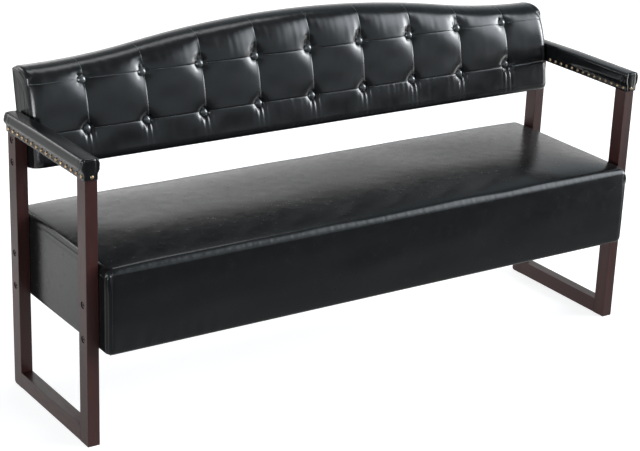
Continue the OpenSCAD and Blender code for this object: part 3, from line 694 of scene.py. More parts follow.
def lower_pleats(dx, below, phase):
    """Pleats fanning out under a lower button: cosine folds that fade sideways and downwards."""
    fan = dx / (1 + 4.0 * below)
    folds = np.cos(2 * math.pi * fan / PLEAT_WAVE + phase) * bell(dx, 0.0135 + 0.10 * below)
    fade = (1 - np.exp(-below / 0.005)) * np.exp(-np.clip(below - 0.012, 0, None) / 0.018)
    return 0.0021 * folds * fade


def bay_gathers(x, below):
    """Short gathers that hang from the lower row's seam in three of the bays: smooth noise, faded
    downwards."""
    some = bell(x + 0.075, 0.035) + bell(x - 0.245, 0.045) + bell(x - 0.400, 0.050)
    return 0.0015 * ripple_along(x, 11, 0.021) * some * (1 - np.exp(-below / 0.004)) * np.exp(-below / 0.026)


def tufted_depth(x, height, top):
    """Depth of the tufted front: the superellipse over the top, swollen between the seams and creased along
    them, then drawn in to the floor of a pit at each button. The upper pits are drawn out upwards. Pleats
    and gathers under the lower row, rays round the upper buttons and slack over all are added."""
    back = settings().back
    to_top = top - height
    smooth = over_top(height, top)
    dx, column = column_offset(x)
    shifted = dx - BUTTON_SHIFT
    up = height - back.upper_row
    low = height - back.lower_row
    below = np.clip(-low, 0, None)
    phase = 2.2 * ripple_along(column * 1.7, 3, 2.0) + 0.6
    creases = upright_creases(dx, up, low, to_top) + row_creases(dx, up, low)
    depth = smooth + bay_swell(dx, height, to_top) - creases
    off_up = up - slipped(column, back.upper_slips)
    off_low = low - slipped(column, back.lower_slips)
    drawn_out = np.where(off_up > 0, PIT_STRETCH * off_up, off_up)
    upper_pull = button_pull(shifted, drawn_out, UPPER_REACH) * eased(to_top / 0.045)
    depth = depth + (pit_floor(smooth, back.pit_level) - depth) * upper_pull
    lower_pull = button_pull(shifted, off_low, LOWER_REACH)
    depth = depth + (pit_floor(smooth, back.low_pit_level) - depth) * lower_pull
    slack = 0.0005 * ripple(x, height, 5, 0.085) + 0.00018 * ripple_along(x, 21, 0.021) * eased(up / 0.02)
    pleats = lower_pleats(dx, below, phase) + bay_gathers(x, below) + button_rays(shifted, off_up, phase)
    return np.maximum(depth + (pleats + slack) * eased(to_top / 0.012), least_depth(smooth))


def growing_steps(length):
    """Places from 0 to a length, close together at first and growing apart."""
    places = [0.0]
    while places[-1] < length:
        places.append(places[-1] + min(FINE_STEP + STEP_GROWTH * places[-1], COARSE_STEP))
    places = np.array(places)
    return places * (length / places[-1])


def there_and_back(length):
    """Places from 0 to twice a length, close together at both ends."""
    half = growing_steps(length)
    return np.concatenate([half, 2 * length - half[-2::-1]])


def back_columns():
    """X of the grid's columns, close together at each vertical seam and at the ends."""
    columns = button_columns()
    bay = there_and_back(button_pitch() / 2)[:-1]
    middle = np.concatenate([column + bay for column in columns[:-1]] + [columns[-1:]])
    margin = columns[-1] + there_and_back((CUSHION_HALF - columns[-1]) / 2)
    return np.concatenate([-margin[:0:-1], middle, margin[1:]])


def end_inset(x, height):
    """How far the front is drawn back beside the end seams: a round, wider near the upper row."""
    radius = settings().back.end_round * (1 + 0.35 * eased((height - 0.10) / 0.09))
    share = np.clip(1 - (CUSHION_HALF - np.abs(x)) / radius, 0, 1)
    return 0.92 * radius * (1 - np.sqrt(1 - share ** 2))


def back_heights(top):
    """Heights of the front's points from the top edge down to the bottom's rounding, close together at the
    top edge and at both rows."""
    back = settings().back
    rim = np.linspace(0.07, 0.85, 22) ** 3
    span = np.concatenate([rim, 1 - (1 - rim[-1]) * np.linspace(1, 0, 15)[1:] ** 1.6])
    upper = top - (top - back.upper_row) * span[None]
    middle = back.upper_row - there_and_back((back.upper_row - back.lower_row) / 2)[None, 1:] + 0 * top
    lower = back.lower_row - growing_steps(back.lower_row - back.bottom_radius)[None, 1:] + 0 * top
    return np.concatenate([upper, middle, lower], 1)


def back_section(x):
    """Closed sections of the backrest at each x: over the top, down the tufted front, under, and up the
    rear."""
    back = settings().back
    x = x[:, None]
    top = camelback(x) - SHOULDER_PINCH * np.clip(1 - (CUSHION_HALF - np.abs(x)) / 0.014, 0, 1) ** 2
    heights = back_heights(top)
    depths = tufted_depth(x, heights, top) - end_inset(x, heights)
    cleared = np.maximum(depths, least_depth(over_top(heights, top)))
    depths = np.where(np.abs(x) < FOAM_HALF + 0.0015, cleared, depths)
    turn = quarter_turn(9)[None, 1:]
    round_d = depths[:, -1:] - back.bottom_radius * (1 - np.cos(turn))
    round_h = back.bottom_radius * (1 - np.sin(turn)) + 0 * top
    under = round_d[:, -1:] + (REAR_EDGE - round_d[:, -1:]) * np.linspace(0, 1, 12)[None, 1:]
    rear_h = REAR_EDGE + (top - 2 * REAR_EDGE) * np.linspace(0, 1, 18)[None]
    sections_d = np.concatenate([depths, round_d, under, 0.0006 + 0 * rear_h, 0.0016 + 0 * top], 1)
    sections_h = np.concatenate([heights, round_h, 0 * under, rear_h, top - 0.0014], 1)
    return np.maximum(sections_d, 0.0005), sections_h


def end_gathers(depth, height, side):
    """Soft upright gathers of smooth noise, less a bell-shaped pinch at the top corner of an end face."""
    folds = 0.0006 * ripple_along(depth, 31 + side, 0.014) * eased(height / 0.05)
    return folds - 0.0026 * bell(depth - 0.050, 0.012) * bell(height - 0.205, 0.022)


def end_cap(depth, height, side):
    """Rings of one end face, shrinking from its rim to its middle, set in a little behind a rolled rim."""
    back = settings().back
    shrink = (np.arange(1, CAP_RINGS) / CAP_RINGS)[:, None] ** 1.4
    inner_d = depth * (1 - shrink) + 0.5 * back.thickness * shrink
    inner_h = height * (1 - shrink) + 0.5 * back.shoulder_height * shrink
    behind = 0.0016 * eased(shrink / 0.06) - end_gathers(inner_d, inner_h, side) * eased(shrink / 0.2)
    return leaned(side * (CUSHION_HALF - np.maximum(behind, 0)), inner_d, inner_h)


def back_rings():
    """Rings of the backrest cover from one end's middle to the other's, (rings, n, 3) in metres."""
    x = back_columns()
    depth, height = back_section(x)
    rings = leaned(x[:, None], depth, height)
    left = end_cap(depth[0], height[0], -1)
    right = end_cap(depth[-1], height[-1], 1)
    return np.concatenate([left[::-1], rings, right])


def make_back_cover():
    """Tufted cover of the backrest: a tube of its sections along X, closed at both ends."""
    piece = make_piece("back_cover_leather", *closed_tube(back_rings()))
    return finish_piece(piece, back_leather(), ["back_cover"])


def dome_points(radius, rise, rings, around, seed):
    """Covered button: a dome, 1 - (r / R)^2.4 of its rise high, with a tucked rim and faint gathers."""
    share = np.linspace(0, 1, rings + 1)[1:, None] ** 0.8
    angle = full_turn(around)[None]
    gather = 1 + 0.012 * np.cos(9 * angle + seed) * share ** 3
    tuck_r = radius * np.array([0.985, 0.90, 0.60])[:, None] + 0 * angle
    tuck_z = np.array([-0.0008, -0.0016, -0.0020])[:, None] + 0 * angle
    r = np.concatenate([radius * share * gather, tuck_r])
    z = np.concatenate([rise * (1 - share ** 2.4) + 0 * angle, tuck_z])
    return np.stack([r * np.cos(angle), r * np.sin(angle), z], -1)


def make_buttons():
    """All the covered buttons, each a dome square to the backrest, at the floor of its pit."""
    back = settings().back
    rows = ((back.lower_row, back.lower_slips, back.low_pit_level),
            (back.upper_row, back.upper_slips, back.pit_level))
    places = [(x, row + slip, level) for row, slips, level in rows
              for x, slip in zip(button_columns(), slips)]
    parts = []
    for number, (x, height, level) in enumerate(places):
        smooth = over_top(height, camelback(np.array(x)))
        base = float(pit_floor(smooth, level)) - BUTTON_SINK
        rings = dome_points(back.button_radius, back.button_rise, 10, 30, 1.3 * number)
        dome, quads, triangles = closed_tube(rings)
        dome[-2] = (0, 0, back.button_rise)
        place = leaned(x + BUTTON_SHIFT + dome[:, 0], base + dome[:, 2], height + dome[:, 1])
        parts.append((place, quads, triangles))
    piece = make_piece("back_buttons_covered", *join_parts(parts))
    return finish_piece(piece, button_leather(), ["back_buttons"])


# Stitches

STITCH_PITCH = 0.0053
STITCH_LENGTH = 0.0034
STITCH_RADIUS = 0.00058
STITCH_SPANS = np.array([-0.5, -0.36, 0.0, 0.36, 0.5])
STITCH_SIZES = np.array([0.25, 0.8, 1.0, 0.8, 0.25])
STITCH_SIDES = 6
STITCH_END = np.array([[0, 1, 2, 3], [0, 3, 4, 5]])
PATH_POINTS = 60
SLOPE_STEP = 0.002
STEEPEST = 2.5


def unit(vectors):
    """Vectors over their lengths."""
    return vectors / np.linalg.norm(vectors, axis=-1, keepdims=True)


def stitches_along(path, normals):
    """Capsule stitches at a steady pitch along a path (n, 3), half sunk into the surface whose normals are
    given. Each is a 6-sided tube of 5 rings that shrinks towards both ends, and whose ends dip by a
    parabola."""
    run = np.concatenate([[0], np.cumsum(np.linalg.norm(np.diff(path, axis=0), axis=1))])
    middles = np.arange(STITCH_PITCH / 2, run[-1], STITCH_PITCH)
    at = middles[:, None] + STITCH_SPANS[None] * STITCH_LENGTH
    centre = np.stack([np.interp(at, run, path[:, k]) for k in range(3)], -1)
    normal = unit(np.stack([np.interp(at, run, normals[:, k]) for k in range(3)], -1))
    tangent = np.broadcast_to(unit(centre[:, -1:] - centre[:, :1]), centre.shape)
    binormal = np.cross(normal, tangent)
    angle = full_turn(STITCH_SIDES)[:, None]
    ring = np.cos(angle) * binormal[..., None, :] + np.sin(angle) * normal[..., None, :]
    lift = (0.35 - 0.7 * (STITCH_SPANS / 0.5) ** 2)[None, :, None] * STITCH_RADIUS
    ring = ring * (STITCH_RADIUS * STITCH_SIZES)[None, :, None, None]
    points = centre[..., None, :] + ring + (normal * lift)[..., None, :]
    rings = len(STITCH_SPANS)
    ends = np.concatenate([STITCH_END, STITCH_END[:, ::-1] + (rings - 1) * STITCH_SIDES])
    one = np.concatenate([grid_quads(rings, STITCH_SIDES, wrap_columns=True), ends])
    start = (np.arange(len(middles)) * rings * STITCH_SIDES)[:, None, None]
    return points.reshape(-1, 3), (one[None] + start).reshape(-1, 4)


def finish_stitches(name, parts):
    """Makes a piece of all its stitches."""
    return finish_piece(make_piece(name, *join_parts(parts)), thread_material())


def front_path(x, height):
    """Points and normals of the tufted front along a line given by x and height arrays. A normal is the
    backrest's own, tilted by the front's slope up the lean, found over a short step."""
    lean = settings().back.lean
    top = camelback(x)
    path = leaned(x, tufted_depth(x, height, top) - end_inset(x, height), height)
    rise = tufted_depth(x, height + SLOPE_STEP, top) - tufted_depth(x, height - SLOPE_STEP, top)
    slope = np.clip(rise / (2 * SLOPE_STEP), -STEEPEST, STEEPEST)
    normal = np.array([0, -math.cos(lean), math.sin(lean)])
    tilt = np.array([0, math.sin(lean), math.cos(lean)])
    return path, normal - slope[:, None] * tilt


def make_back_stitches():
    """Stitches along the two rows and down the seams from the top edge to the lower buttons."""
    back = settings().back
    clear = back.button_radius + 0.002
    end = CUSHION_HALF - 0.002
    ends = np.concatenate([[-end], button_columns(), [end]])
    lines = []
    for height in (back.lower_row, back.upper_row):
        for number, (start, stop) in enumerate(zip(ends[:-1], ends[1:])):
            first = start if number == 0 else start + clear
            last = stop if number == len(ends) - 2 else stop - clear
            lines.append((np.linspace(first, last, PATH_POINTS), np.full(PATH_POINTS, height)))
    for column in button_columns():
        top = camelback(np.array(column))
        for low, high in ((back.lower_row + clear, back.upper_row - clear),
                          (back.upper_row + clear, top - 0.0015)):
            lines.append((np.full(PATH_POINTS, column), np.linspace(high, low, PATH_POINTS)))
    return finish_stitches("back_stitches", [stitches_along(*front_path(x, height)) for x, height in lines])


# Seat

SEAT_MIDDLE = (SEAT_LOW[1] + SEAT_HIGH[1]) / 2
SEAT_HALF_DEPTH = (SEAT_HIGH[1] - SEAT_LOW[1]) / 2
CORNER_STEPS = 22
FRONT_STEPS = 240
END_STEPS = 64
SHARPEST_CORNER = 0.0003
END_SEAM_DROP = 0.0165
END_ROLL_DROP = 0.0055
END_STITCH_DROP = 0.0200
END_STITCH_INSET = 0.0010
CLOTH_COLUMNS = 90
CLOTH_ROWS = 34
CLOTH_THICKNESS = 0.0005
CLOTH_SAG = 0.0022


def rounded_outline(half_x, front, rear, radius):
    """Rounded rectangle, anticlockwise from the front left corner, as (n, 2) points."""
    def arc(cx, cy, start):
        a = np.radians(np.linspace(start, start + 90, CORNER_STEPS + 1))
        return np.stack([cx + radius * np.cos(a), cy + radius * np.sin(a)], -1)

    def side(p, q, count):
        share = np.linspace(0, 1, count + 1)[1:-1, None]
        return np.array(p) * (1 - share) + np.array(q) * share

    left, right = -half_x + radius, half_x - radius
    near, far = front + radius, rear - radius
    return np.concatenate([
        arc(left, near, 180), side((left, front), (right, front), FRONT_STEPS),
        arc(right, near, 270), side((half_x, near), (half_x, far), END_STEPS),
        arc(right, far, 0), side((right, rear), (left, rear), FRONT_STEPS),
        arc(left, far, 90), side((-half_x, far), (-half_x, near), END_STEPS)])


def seat_crown(x, y):
    """Crown of the seat: a product of rises, 1 - exp(-distance / reach), from the ends, the front and the
    rear, with a longer reach from the ends."""
    seat = settings().seat
    distances = (CUSHION_HALF - np.abs(x), y - SEAT_LOW[1], SEAT_HIGH[1] - y)
    reaches = (1.5 * seat.crown_reach, seat.crown_reach, seat.crown_reach)
    rise = 1.0
    for distance, reach in zip(distances, reaches):
        rise = rise * (1 - np.exp(-np.clip(distance, 0, None) / reach))
    return seat.crown * rise


def seat_rings():
    """Rings of the seat cover, rounded rectangles: in under the seat, round its bottom edge, up its sides,
    round its top edge and in over its top to a line along its middle. The corners get sharper as the rings
    draw in."""
    seat = settings().seat
    front, rear = SEAT_LOW[1] + seat.bulge, SEAT_HIGH[1] - seat.bulge
    bottom, edge = SEAT_LOW[2] + 0.0003, seat.edge_height
    rb, rt = seat.bottom_radius, seat.top_radius
    half_depth = (rear - front) / 2
    low_turn, high_turn = quarter_turn(6), quarter_turn(10)
    wall, inward = np.linspace(0, 1, 34)[1:-1], np.linspace(0, 1, 42)[1:]
    insets = np.concatenate([
        [rb + 0.05, rb + 0.02], rb * (1 - np.sin(low_turn)), 0 * wall, rt * (1 - np.cos(high_turn)),
        rt + (half_depth - rt) * inward])
    heights = np.concatenate([
        [bottom, bottom], bottom + rb * (1 - np.cos(low_turn)),
        bottom + rb + (edge - rt - bottom - rb) * wall, edge - rt * (1 - np.sin(high_turn)),
        edge + 0 * inward])
    radii = np.maximum(seat.corner_radius - 0.75 * np.minimum(insets, 0.03), SHARPEST_CORNER)
    radii = np.minimum(radii, np.maximum(half_depth - insets, 0.0))
    outlines = np.array([rounded_outline(CUSHION_HALF - inset, front + inset, rear - inset, radius)
                         for inset, radius in zip(insets, radii)])
    z = np.broadcast_to(heights[:, None, None], (*outlines.shape[:2], 1))
    return shaped_seat(np.concatenate([outlines, z], -1))


def wall_swell(x, z, side_wall, end):
    """How far the front and rear walls stand out: a parabola up the wall, none at the corners, with slow
    waves in it and gathers along the bottom towards the left end, which fade out at both ends."""
    seat = settings().seat
    swell = seat.bulge * side_wall * (1 - np.clip(np.abs(x) / CUSHION_HALF, 0, 1) ** 30)
    sag = 0.0010 * ripple(x, z * 2.2, 41, 0.22) * side_wall
    low = eased((0.30 - z) / 0.05) * eased((z - SEAT_LOW[2]) / 0.01)
    gathers = 0.0010 * ripple_along(x, 42, 0.045) * low * eased((-0.35 - x) / 0.25)
    return swell + (sag + gathers) * (1 - end)


def corner_push(x, y, z, under_top):
    """How far an upright corner's points move outwards, in x and y. Seen round the corner, two creases lie
    either side of a bell-shaped puff, with cosine puckers under the top edge."""
    seat = settings().seat
    dx = np.abs(x) - (CUSHION_HALF - seat.corner_radius)
    dy = np.abs(y - SEAT_MIDDLE) - (SEAT_HALF_DEPTH - seat.corner_radius)
    in_corner = (dx > 0) & (dy > 0)
    turn = np.where(in_corner, np.degrees(np.arctan2(dy, np.maximum(dx, 1e-9))), -90.0)
    wall = eased((z - SEAT_LOW[2] - 0.004) / 0.012) * under_top * in_corner
    fold = 0.0030 * (crease(turn - 22, 5.0) + 0.8 * crease(turn - 62, 5.0)) * wall
    puff = 0.0014 * bell(turn - 42, 12.0) * wall
    pucker = 0.0026 * np.cos(np.radians(turn) * 11) * eased(turn / 20) * eased((90 - turn) / 20)
    pucker = pucker * bell(z - (seat.edge_height - 0.020), 0.016) * in_corner
    push = (puff - fold + pucker) / np.hypot(np.maximum(dx, 1e-9), np.maximum(dy, 1e-9)) * in_corner
    return np.sign(x) * push * np.maximum(dx, 0), np.sign(y - SEAT_MIDDLE) * push * np.maximum(dy, 0)


def end_seams(x, z):
    """Depth of the seam along each end under the top edge, and of the fainter line under the edge's roll."""
    edge = settings().seat.edge_height
    on_end = eased((np.abs(x) - (CUSHION_HALF - 0.003)) / 0.002)
    seam = 0.0026 * crease(z - (edge - END_SEAM_DROP), 0.0016)
    return (seam + 0.0016 * crease(z - (edge - END_ROLL_DROP), 0.0016)) * on_end


def corner_drop(x, y, z):
    """Drop of the top towards the front corners: a quarter circle over the last of the length, which fades
    exponentially from the front back, and down the walls."""
    seat = settings().seat
    share = np.clip(1 - (CUSHION_HALF - np.abs(x)) / seat.corner_drop, 0, 1)
    drop = 0.8 * seat.corner_drop * (1 - np.sqrt(1 - share ** 2))
    from_front = np.exp(-np.clip(y - SEAT_LOW[1] - 0.006, 0, None) / 0.030)
    return drop * from_front * eased((z - seat.edge_height + 0.10) / 0.09)


def shaped_seat(rings):
    """Shapes the seat's plain rings: lifts the top by the crown, swells the front and rear walls, folds the
    corners, draws the seams into the ends, ripples the top edge, gives the top slow waves and lowers its
    front corners."""
    seat = settings().seat
    x, y, z = rings[..., 0], rings[..., 1], rings[..., 2]
    edge = seat.edge_height
    share = np.clip((z - SEAT_LOW[2]) / (edge - SEAT_LOW[2]), 0, 1)
    on_top = eased((z - (edge - seat.top_radius)) / seat.top_radius)
    z = z + seat_crown(x, y) * on_top
    end = eased((np.abs(x) - (CUSHION_HALF - 0.012)) / 0.010)
    from_middle = y - SEAT_MIDDLE
    on_wall = np.sign(from_middle) * eased((np.abs(from_middle) - (SEAT_HALF_DEPTH - 0.02)) / 0.015)
    y = y + on_wall * wall_swell(x, z, 4 * share * (1 - share), end)
    push_x, push_y = corner_push(x, y, z, 1 - on_top)
    x, y = x + push_x, y + push_y
    x = x - np.sign(x) * end_seams(x, z)
    edge_ripple = 0.00035 * ripple_along(x, 43, 0.012) * bell(z - (edge - 0.004), 0.006) * (1 - end)
    y = y + np.sign(y - SEAT_MIDDLE) * edge_ripple
    flat_top = eased((z - edge + 0.002) / 0.004)
    z = z + flat_top * (0.0005 * ripple(x, y, 44, 0.25) + 0.00004 * ripple(x, y, 45, 0.040))
    return np.stack([x, y, z - corner_drop(x, y, z)], -1)


def make_seat_cover():
    """Seat cover: a tube of its rings, closed by a fan under the seat and welded along the line on its
    top."""
    points, quads, fans = closed_tube(seat_rings())
    piece = make_piece("seat_cover_leather", points[:-1], quads, fans[:len(fans) // 2], weld=0.00005)
    return finish_piece(piece, seat_leather(), ["seat_cover"])


def make_seat_stitches():
    """Stitches along the seam under the top edge of each end."""
    seat = settings().seat
    y = np.linspace(SEAT_LOW[1] + seat.corner_radius, SEAT_HIGH[1] - seat.corner_radius, 80)
    parts = []
    for side in (-1, 1):
        x = np.full_like(y, side * (CUSHION_HALF - END_STITCH_INSET))
        z = np.full_like(y, seat.edge_height - END_STITCH_DROP)
        normal = np.stack([np.full_like(y, side), 0 * y, 0 * y], -1)
        parts.append(stitches_along(np.stack([x, y, z], -1), normal))
    return finish_stitches("seat_stitches", parts)


def make_dust_cover():
    """Dust cover: a thin cloth stretched under the seat, sagging by the square root of a sine times a sine
    and puckered a little between its staples."""
    low, high = node_box("seat_dust_cover")
    x = np.linspace(low[0], high[0], CLOTH_COLUMNS)[:, None]
    y = np.linspace(low[1], high[1], CLOTH_ROWS)[None]
    across = np.sin(math.pi * (x - low[0]) / (high[0] - low[0]))
    free = np.clip(across * np.sin(math.pi * (y - low[1]) / (high[1] - low[1])), 0, 1)
    z = high[2] - 0.0006 - CLOTH_SAG * free ** 0.5 + 0.0004 * ripple(x, y, 61, 0.05) * free
    points = np.stack(np.broadcast_arrays(x, y, z), -1).reshape(-1, 3)
    piece = make_piece("seat_dust_cloth", points, grid_quads(CLOTH_COLUMNS, CLOTH_ROWS))
    solid = piece.modifiers.new("cloth thickness", "SOLIDIFY")
    solid.thickness = CLOTH_THICKNESS
    solid.offset = 0.0
    finish_piece(piece, dust_cloth_material(), ["seat_dust_cover"])
    return piece


# Arms

ARM_CAP = 0.0075
ARM_CAP_RINGS = 9
ARM_CROWN = 0.0008
NAIL_PITCH = 0.0252


def arm_outline(low_x, high_x, foot, top, radius):
    """Closed section of an arm cover at one place: up the outside, round over the crown, a parabola, down
    the inside and under."""
    turn = quarter_turn(8)[1:]
    over = np.linspace(-1, 1, 13)[1:-1]
    middle, half = (low_x + high_x) / 2, (high_x - low_x) / 2 - radius
    wall = foot + (top - radius - foot) * np.linspace(0, 1, 14)
    left = np.stack([np.full_like(wall, low_x), wall], -1)
    left_round = np.stack([low_x + radius * (1 - np.cos(turn)), top - radius * (1 - np.sin(turn))], -1)
    across = np.stack([middle + half * over, top + ARM_CROWN * (1 - over ** 2)], -1)
    right, right_round = (np.stack([low_x + high_x - part[:, 0], part[:, 1]], -1)[::-1]
                          for part in (left, left_round))
    below = high_x + (low_x - high_x) * np.linspace(0, 1, 10)[1:-1]
    under = np.stack([below, np.full_like(below, foot)], -1)
    return np.concatenate([left, left_round, across, right_round, right, under])


def arm_rings(low, high):
    """Rings of a left arm cover along Y, drawn in by a quarter circle at both ends and closed there by rings
    that shrink to the end's middle."""
    arm = settings().arm
    foot = low[2] + 0.0002
    turn = quarter_turn(9)[::-1]
    places, insets = low[1] + ARM_CAP * (1 - np.sin(turn)), ARM_CAP * (1 - np.cos(turn))
    body = np.linspace(low[1] + ARM_CAP, high[1] - ARM_CAP, 96)[1:-1]
    y = np.concatenate([places, body, low[1] + high[1] - places[::-1]])
    inset = np.concatenate([insets, 0 * body, insets[::-1]])
    rearward = eased(((y - low[1]) / (high[1] - low[1]) - 0.55) / 0.45)
    tops = arm.top_height - 0.6 * inset - arm.rear_drop * rearward
    outlines = np.array([
        arm_outline(low[0] + 0.35 * drawn, high[0] - 0.10 * drawn, foot, top, arm.edge_radius)
        for drawn, top in zip(inset, tops)])
    along = np.broadcast_to(y[:, None], outlines.shape[:2])
    rings = np.stack([outlines[..., 0], along, outlines[..., 1]], -1)
    shrink = (np.arange(1, ARM_CAP_RINGS) / ARM_CAP_RINGS)[:, None, None]
    caps = []
    for ring in (rings[0], rings[-1]):
        middle = ring.mean(0)
        middle[2] = foot + 0.5 * (arm.top_height - foot)
        caps.append(ring[None] * (1 - shrink) + middle * shrink)
    return np.concatenate([caps[0][::-1], rings, caps[1]])


def arm_end(across, share):
    """How far the points of an arm's ends move out: a flat panel's slight rise, less two creases that lean
    out downwards and a fainter one between them."""
    creases = crease(np.abs(across) - 0.62 - 0.10 * (1 - share), 0.07)
    folds = creases + 0.4 * crease(across + 0.15, 0.10) * (1 - share)
    panel = 0.0012 * (1 - np.clip(np.abs(across) / 0.6, 0, 1) ** 4)
    return 0.6 * panel - settings().arm.fold_depth * folds * (0.35 + 0.65 * share)


def shaped_arm(points, low, high):
    """Shapes an arm cover's points: folds its ends, dimples its sides between the nails by a cosine, gathers
    them near the ends, swells them outwards over the nails, and gives the top slack and the ends a ragged
    foot. The inside stays flat beside the backrest."""
    arm = settings().arm
    x, y, z = points[..., 0], points[..., 1], points[..., 2]
    middle, half, foot = (low[0] + high[0]) / 2, (high[0] - low[0]) / 2, low[2]
    share = np.clip((z - foot) / (arm.top_height - foot), 0, 1)
    at_end = eased((np.abs(y) - (high[1] - 0.004)) / 0.0035)
    across = (x - middle) / half
    y = y + np.sign(y) * at_end * arm_end(across, share)
    outward = np.sign(x - middle)
    on_side = eased((np.abs(x - middle) - (half - 0.003)) / 0.002)
    dimples = 0.00045 * np.cos(2 * math.pi * y / NAIL_PITCH) * bell(z - (foot + 0.008), 0.010) * on_side
    near_end = eased((np.abs(y) - (high[1] - 0.045)) / 0.03)
    gathers = 0.0016 * ripple_along(y + 0.5 * z, 51, 0.012) * near_end * eased((z - foot - 0.012) / 0.012)
    free = np.where(outward < 0, 1.0, eased((0.095 - y) / 0.035))
    swell = arm.bulge * eased((z - foot - 0.0125) / 0.014) * free
    swell = swell * (1 - 0.25 * eased((z - arm.top_height + 0.008) / 0.008))
    x = x + outward * (dimples + gathers * on_side * free - 0.0003)
    inmost = high[0] + np.where(free > 0.5, 0.0006, 0.0001)
    x = np.clip(x, low[0] - 0.0006, inmost) + swell * across
    raised = eased((z - (arm.top_height - 0.004)) / 0.003)
    z = z + raised * (0.00008 * ripple(x * 1.5, y, 52, 0.06))
    ragged = eased((foot + 0.0015 - z) / 0.001) * at_end
    z = z + ragged * 0.0010 * (0.5 + 0.5 * ripple_along(x, 53, 0.008))
    return np.stack([x, y, z], -1)


def make_arm_cover(side):
    """Arm cover: a tube of its shaped sections along Y, closed at both ends. The right one mirrors the
    left."""
    low, high = node_box("arm_cover_left")
    rings = shaped_arm(arm_rings(low, high), low, high)
    if side == "right":
        rings = rings * np.array([-1, 1, 1])
    piece = make_piece(f"arm_cover_{side}_leather", *closed_tube(rings))
    return finish_piece(piece, arm_leather(), [f"arm_cover_{side}"])


# Carried-over nodes

PINE = ((0.62, 0.43, 0.22), (0.42, 0.26, 0.12))
PLYWOOD = ((0.58, 0.42, 0.24), (0.46, 0.31, 0.16))
BEECH = ((0.60, 0.42, 0.25), (0.50, 0.33, 0.18))
BOLT_HEAD_RADIUS = 0.0065
# Sizes of the dark rings of painted shade round the bolt holes, where the counterbores' shadow falls.
RING_RADIUS = 0.0083
RING_WIDTH = 0.0013
RING_RISE = 0.0003
RING_STEPS = 36
RING_SECTION = 10


def dress_nodes(material, *names):
    """Gives carried-over nodes a material."""
    for name in names:
        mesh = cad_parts[name].data
        mesh.materials.clear()
        mesh.materials.append(material)


def both(*stems):
    """Left and right node names of each stem."""
    return [f"{stem}_{side}" for stem in stems for side in SIDES]


def dress_wood():
    """Stained wood for the side frames, plain wood inside, each with its grain along the members."""
    upright = stained_wood("stained_wood_upright", (1.0, 1.0, 0.09))
    level = stained_wood("stained_wood_level", (1.0, 0.09, 1.0))
    dress_nodes(upright, *both("front_leg", "rear_leg"))
    dress_nodes(level, *both("floor_rail", "arm_rail"))
    pine_long = plain_wood("pine_long", *PINE, (0.1, 1, 1))
    pine_deep = plain_wood("pine_deep", *PINE, (1, 0.1, 1))
    pine_high = plain_wood("pine_high", *PINE, (1, 1, 0.1))
    plywood = plain_wood("plywood", *PLYWOOD, (0.15, 1, 0.6))
    beech = plain_wood("beech", *BEECH, (0.6, 0.6, 0.6))
    dress_nodes(pine_long, "seat_front_board", "seat_rear_board", "back_bottom_rail", "back_top_rail")
    dress_nodes(pine_deep, "seat_cross_braces", *both("seat_end_board"))
    dress_nodes(pine_high, "seat_corner_blocks", "back_uprights", *both("back_stile"))
    dress_nodes(plywood, "seat_deck", "back_panel")
    dress_nodes(beech, *both("frame_dowels"))


def dress_metal():
    """Antique brass for the nails, black steel for the bolts, zinc for the inserts."""
    brass = metal_material("antique_brass", settings().finish.brass, (0.22, 0.155, 0.10), 0.34, 0.52, 160.0)
    black = metal_material("black_oxide_steel", (0.48, 0.46, 0.44), (0.22, 0.21, 0.20), 0.28, 0.42, 300.0)
    zinc = metal_material("zinc_steel", (0.62, 0.62, 0.60), (0.42, 0.42, 0.41), 0.30, 0.50, 120.0)
    dress_nodes(brass, *both("arm_nails"))
    dress_nodes(black, *both("seat_bolts", "back_bolts"))
    dress_nodes(zinc, *both("seat_inserts", "back_inserts"))


def bolt_places():
    """Where the bolts enter the legs' outer faces, as (n, 3), from the boxes of the bolts and the legs."""
    places = []
    for stem, rows in (("seat_bolts", (0, 1)), ("back_bolts", (0,))):
        for side, sign in zip(SIDES, (1, -1)):
            low, high = node_box(f"{stem}_{side}")
            inner = (low + BOLT_HEAD_RADIUS, high - BOLT_HEAD_RADIUS)
            places += [(sign * LEG_OUTSIDE, inner[i][1], inner[j][2]) for i in rows for j in (0, 1)]
    return np.array(places)


def make_painted_shade_rings():
    """Dark rings of painted shade round the bolt holes, standing in for the shadow in their counterbores: a
    flat ellipse carried round a circle about each bolt.
    """
    x, y, z = bolt_places().T[:, :, None, None]
    around = full_turn(RING_STEPS)[:, None]
    section = full_turn(RING_SECTION)[None]
    radius = RING_RADIUS + RING_WIDTH / 2 * (np.cos(section) - 1)
    points = np.stack([x + np.sign(x) * RING_RISE * np.sin(section) + 0 * around,
                       y + radius * np.cos(around), z + radius * np.sin(around)], -1)
    ring = grid_quads(RING_STEPS, RING_SECTION, wrap_rows=True, wrap_columns=True)
    start = (np.arange(len(points)) * RING_STEPS * RING_SECTION)[:, None, None]
    piece = make_piece("bolt_hole_painted_shade", points.reshape(-1, 3), (ring[None] + start).reshape(-1, 4))
    return finish_piece(piece, painted_shade_black())


def dress_filling():
    """Foam, twine and the leather of the outside back."""
    dress_nodes(foam_material(), "seat_foam", "seat_topper", "back_foam", *both("arm_foam"))
    dress_nodes(twine_material(), "button_twines")
    dress_nodes(back_leather(), "back_rear_panel")


# Stage

